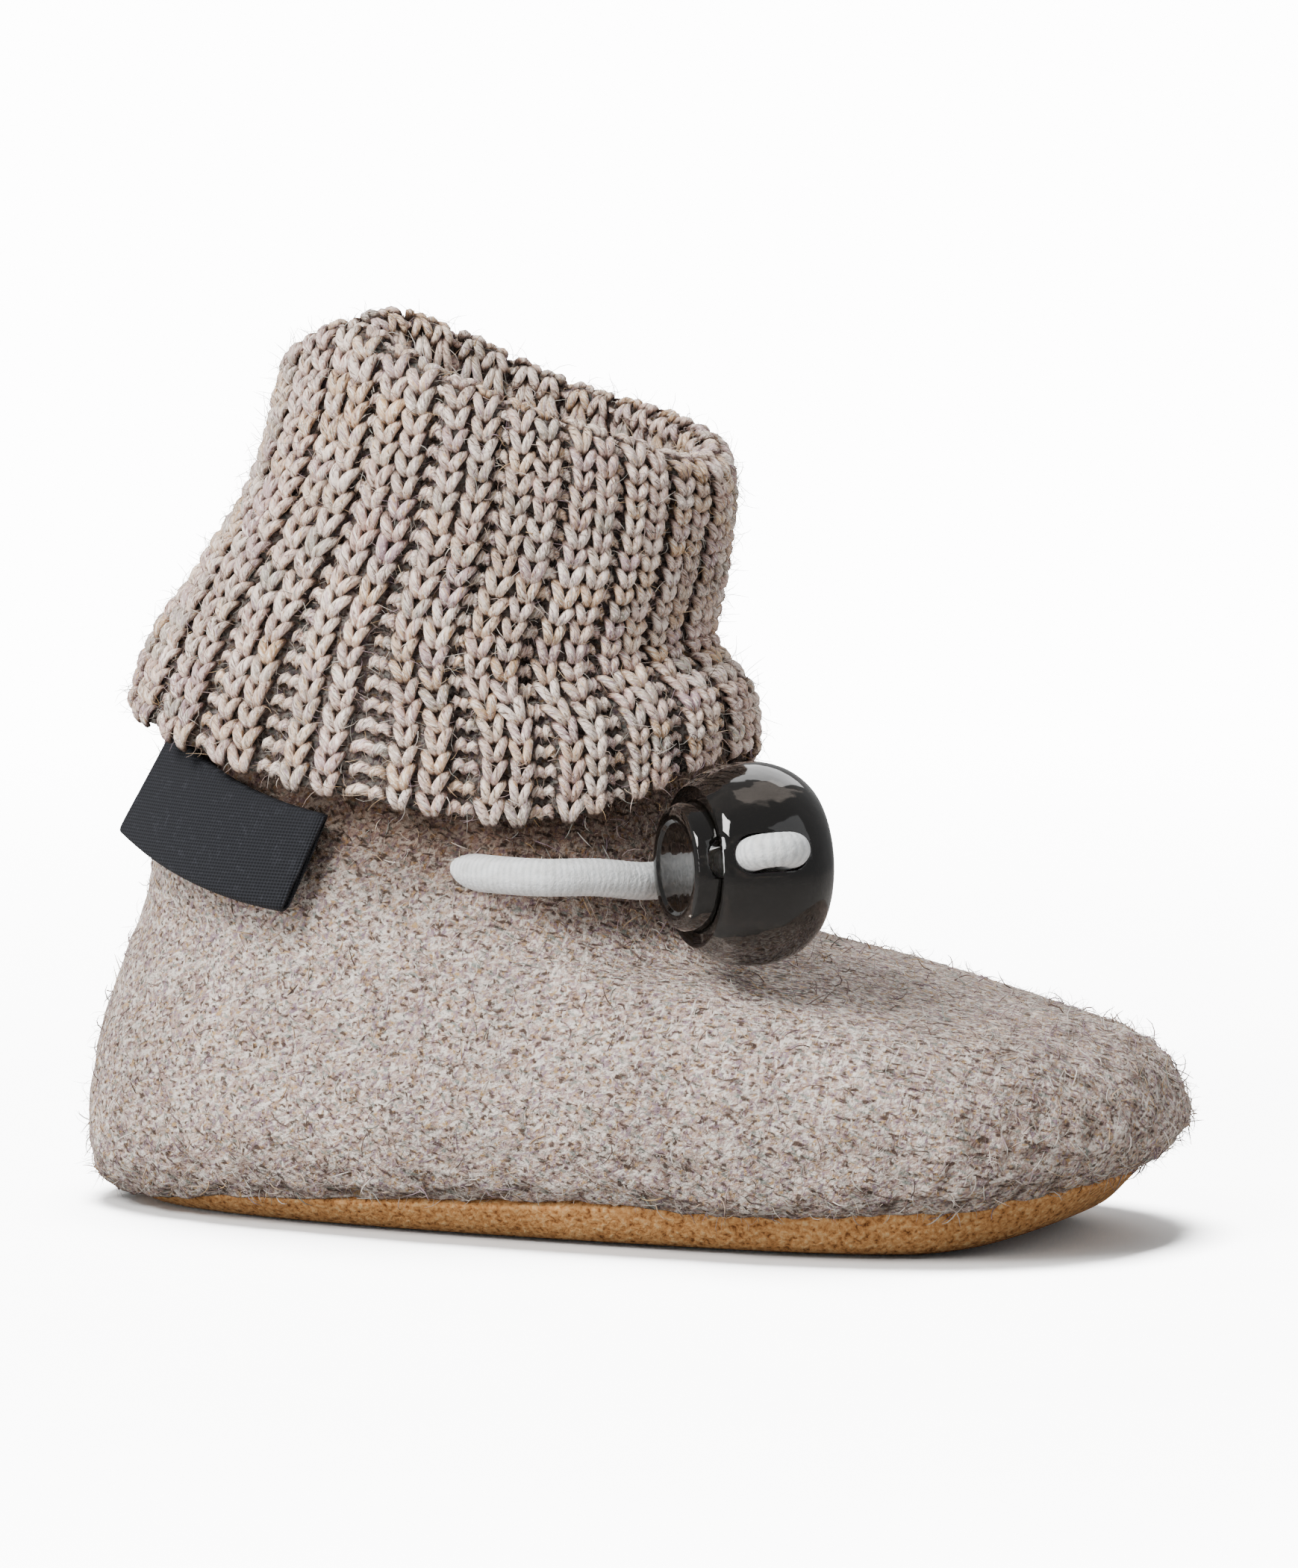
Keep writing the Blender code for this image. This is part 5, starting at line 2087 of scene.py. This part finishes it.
@dataclass
class SoftenedNode:
    """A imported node's own shape with its facets smoothed away."""

    node: str
    levels: int = 2
    crease: float = math.radians(50)
    sharpness: float = 0.55

    def build(self, name: str, finish: Material) -> Object:
        """Copies the node's mesh and smooths it.

        Args:
            name: the new piece's name.
            finish: its finish.

        Returns:
            The piece.
        """
        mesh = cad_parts[self.node].data.copy()
        with reworked(mesh) as work:
            bmesh.ops.remove_doubles(work, verts=work.verts, dist=1e-6)
            bmesh.ops.join_triangles(work, faces=work.faces, angle_face_threshold=math.radians(25),
                                     angle_shape_threshold=math.radians(60))
            bmesh.ops.recalc_face_normals(work, faces=work.faces)
            layers = work.edges.layers.float
            sharp = layers.get("crease_edge") or layers.new("crease_edge")
            for edge in work.edges:
                if edge.is_manifold and edge.calc_face_angle(0.0) > self.crease:
                    edge[sharp] = self.sharpness
        piece = add_piece(name, mesh, finish)
        smooth = piece.modifiers.new("smooth", "SUBSURF")
        smooth.levels = smooth.render_levels = self.levels
        settle(piece)
        piece.data.shade_smooth()
        return piece


def weave_map(piece: Object, along: Vector, down: Vector) -> None:
    """Gives a piece a UV map in millimetres along and down its cloth.

    Args:
        piece: the piece.
        along: direction of the weft.
        down: direction of the warp.
    """
    mesh = piece.data
    layer = mesh.uv_layers.get("UVMap") or mesh.uv_layers.new(name="UVMap")
    places = read_points(mesh) / MM
    corners = np.empty(len(mesh.loops), np.int32)
    mesh.loops.foreach_get("vertex_index", corners)
    flat = np.stack([places @ np.array(along), places @ np.array(down)], axis=-1)[corners]
    layer.data.foreach_set("uv", flat.ravel().astype(np.float32))


# The soft lamps: name, place, width, watts, tone and, for a strip, its height
LAMPS = [
    ("key", (-0.60, 0.60, 0.80), 0.42, 18.5, (1.0, 0.98, 0.95)),
    ("fill", (0.75, 0.45, 0.45), 0.8, 1.8, (0.96, 0.98, 1.0)),
    ("back", (0.1, -0.7, 0.7), 0.7, 5.0, grey(1.0)),
    ("strip", (-0.74, 0.60, 0.16), 0.11, 4.2, grey(1.0), 0.5),
]


@dataclass
class Studio:
    """The pale floor, the soft lights and the camera."""

    centre: Vector = field(default_factory=lambda: Vector((0.0015, 0.0, 0.0462)))
    azimuth: float = math.radians(22)
    elevation: float = math.radians(7)
    distance: float = 1.5
    height_seen: float = 0.166
    sky: float = 0.42
    backdrop_glow: float = 13.5
    paper_power: float = 122.0
    paper_half: float = 0.5
    sensor: float = 36.0

    def ways(self) -> tuple:
        """The camera's directions.

        Returns:
            Back and right.
        """
        back = Vector((math.sin(self.azimuth) * math.cos(self.elevation),
                       -math.cos(self.azimuth) * math.cos(self.elevation),
                       math.sin(self.elevation)))
        right = Vector((math.cos(self.azimuth), math.sin(self.azimuth), 0.0))
        return back, right

    def camera(self) -> None:
        """Makes the camera at the photograph's angle, on the one slipper."""
        data = bpy.data.cameras.new("camera")
        data.sensor_width = self.sensor
        data.lens = self.sensor * self.distance / self.height_seen
        data.clip_end = 20.0
        camera = add_object("camera", data)
        back = self.ways()[0]
        camera.location = self.centre + back * self.distance
        camera.rotation_euler = back.to_track_quat("Z", "Y").to_euler()
        bpy.context.scene.camera = camera

    def lamp(self, name: str, place: tuple, size: float, power: float, tone: tuple,
             tall: float = 0.0) -> Object:
        """Adds a soft lamp that looks at the slipper.

        Args:
            name: the lamp's name.
            place: how far right, back and up of the slipper, in metres.
            size: its width.
            power: its strength in watts.
            tone: its colour.
            tall: a strip's height; none for a square lamp.

        Returns:
            The lamp.
        """
        back, right = self.ways()
        data = bpy.data.lights.new(name, "AREA")
        data.size = size
        if tall:
            data.shape = "RECTANGLE"
            data.size_y = tall
        data.energy = power
        data.color = tone
        lamp = add_object(name, data)
        flat_back = Vector((back.x, back.y, 0)).normalized()
        lamp.location = (self.centre + right * place[0] + flat_back * place[1]
                         + Vector((0, 0, place[2])))
        lamp.rotation_euler = (lamp.location - self.centre).to_track_quat("Z", "Y").to_euler()
        return lamp

    def floor(self) -> Object:
        """Makes the pale paper, which fades into the backdrop and is clear from below.

        Returns:
            The paper.
        """
        material, bench, shader, place = shader_tree("pale paper")
        grain = bench.noise(place, 0.02, 2.0, 0.5)
        tone = bench.ramp(grain, [(0.3, grey(0.90)), (0.7, grey(0.92))])
        dim = bench.plain((0.06, 0.057, 0.054))
        seen = bench.add("ShaderNodeLightPath").outputs["Is Camera Ray"]
        bench.join(bench.blend(dim, tone, seen), shader.inputs["Base Color"])
        bench.values(shader, {"Roughness": 0.9, "Specular IOR Level": 0.1})
        reach = bench.add("ShaderNodeVectorMath", operation="LENGTH")
        bench.join(place, reach.inputs[0])
        fade = bench.ramp(reach.outputs["Value"], [(0.12, grey(1.0)), (0.42, grey(0.0))])
        below = bench.add("ShaderNodeNewGeometry").outputs["Backfacing"]
        bench.join(bench.blend(fade, bench.plain(grey(0.0)), below), shader.inputs["Alpha"])
        half = self.paper_half
        mesh = bpy.data.meshes.new("floor")
        corners = [(-half, -half, 0), (half, -half, 0), (half, half, 0), (-half, half, 0)]
        mesh.from_pydata(corners, [], [(0, 1, 2, 3)])
        paper = add_piece("floor", mesh, material)
        return paper

    def build(self) -> None:
        """Makes the whole studio."""
        self.camera()
        paper = bpy.data.collections.new("paper")
        paper.objects.link(self.floor())
        for settings in LAMPS:
            self.lamp(*settings)
        overhead = self.lamp("paper light", (-0.1, -0.05, 1.0), 0.5, self.paper_power, grey(1.0))
        overhead.light_linking.receiver_collection = paper
        world = bpy.data.worlds.new("studio")
        bpy.context.scene.world = world
        world.use_nodes = True
        sky = world.node_tree.nodes["Background"]
        sky.inputs["Color"].default_value = (1.0, 1.0, 1.0, 1.0)
        bench = NodeBench(world.node_tree)
        seen = bench.add("ShaderNodeLightPath").outputs["Is Camera Ray"]
        glow = bench.add("ShaderNodeMath", operation="MULTIPLY_ADD")
        bench.values(glow, {0: seen, 1: self.backdrop_glow, 2: self.sky})
        bench.join(glow.outputs[0], sky.inputs["Strength"])


class Slipper:
    """The whole dressed slipper, one sub-assembly after the other."""

    label_rise = 0.0017
    label_shift = 0.0009
    label_spread = 0.0010
    label_lean = 0.22
    label_turn = math.radians(240)
    hole_places = (5.1, 32.6)

    def __init__(self) -> None:
        """Makes the finishes, the forms and the hairs."""
        self.finish = Finishes()
        self.foot = FootForm()
        self.place = LockPlace(self.foot)
        self.cord = ElasticCord(self.place)
        self.cuff = CuffForm(self.foot)
        self.hairs = HairShapes()
        self.hairs.build()

    def wear(self, piece: Object, slot: str, *nodes: str, body: str = SLIPPER) -> None:
        """Ties a finished piece to its body and hides the nodes it stands for.

        Args:
            piece: the piece.
            slot: not used.
            nodes: the CAD nodes it replaces.
            body: the body it moves with.
        """
        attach(piece, body)
        if nodes:
            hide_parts(*nodes)
        LOG.info("%s: %d faces", piece.name, len(piece.data.polygons))

    def dress_foot(self) -> None:
        """Makes the sole, the insole and the felt with its nap."""
        self.wear(SoftenedNode("outsole").build("suede_sole", self.finish.suede), "suede",
                  "outsole")
        self.wear(SoftenedNode("insole").build("wool_insole", self.finish.insole), "insole_wool",
                  "insole")
        path, _ = self.cord.route()
        holes = np.array([path[int(place * self.cord.steps)] for place in self.hole_places])
        felt = FeltUpper(self.foot, self.cuff, holes)
        self.wear(felt.build(self.finish.felt), "boiled_wool", "upper")
        for piece in felt.grow(self.hairs, self.finish.hairs):
            self.wear(piece, "boiled_wool")

    def dress_cuff(self) -> None:
        """Makes the rib-knit cuff."""
        cuff = RibCuff(self.cuff)
        self.wear(cuff.ground(self.finish.painted_shade_backing), "rib_knit", "cuff")
        for piece in cuff.stitches(StitchTree(), self.finish.yarn):
            self.wear(piece, "rib_knit")
        for piece in cuff.grow(self.hairs, self.finish.hairs):
            self.wear(piece, "rib_knit")

    def dress_closure(self) -> None:
        """Makes the elastic and its lock."""
        self.wear(self.cord.build(self.finish.elastic), "elastic", "elastic_cord")
        lock = CordLock(self.place)
        self.wear(lock.body(self.finish.smoke), "smoke_plastic", "lock_body")
        self.wear(lock.button(self.finish.smoke), "smoke_plastic", "lock_plunger", body=BUTTON)
        spring = lock.spring(self.finish.steel)
        self.wear(spring, "spring_steel", "lock_spring")
        tuple(self.place.press())
        tuple(lock.spring_anchor())
        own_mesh(spring)

    def lean(self, label: Object, along: Vector) -> None:
        """Raises the label under the hem and leans its front edge forwards.

        Args:
            label: the label.
            along: direction of its weft.
        """
        places = read_points(label.data)
        reach = places @ np.array(along)
        share = (reach - reach.min()) / np.ptp(reach)
        lift = places[:, 2] - places[:, 2].min()
        move = self.label_shift + share * (self.label_spread + lift * self.label_lean)
        places += move[:, None] * np.array(along, np.float32)
        places[:, 2] += self.label_rise
        write_points(label.data, places)

    def dress_label(self) -> None:
        """Makes the bare woven loop."""
        label = SoftenedNode("loop_label", crease=math.radians(60)).build("woven_loop",
                                                                          self.finish.tape)
        turn = self.label_turn
        along = Vector((-math.sin(turn), math.cos(turn), -0.25)).normalized()
        self.lean(label, along)
        weave_map(label, along, Vector((0, 0, -1)))
        self.wear(label, "woven_tape", "loop_label")


def main() -> None:
    """Builds the studio and the slipper, in order."""
    logging.basicConfig(level=logging.INFO, format="%(message)s")
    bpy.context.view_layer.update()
    Studio().build()
    slipper = Slipper()
    slipper.dress_foot()
    slipper.dress_cuff()
    slipper.dress_closure()
    slipper.dress_label()
    slipper.hairs.clear()


if __name__ == "__main__":
    main()
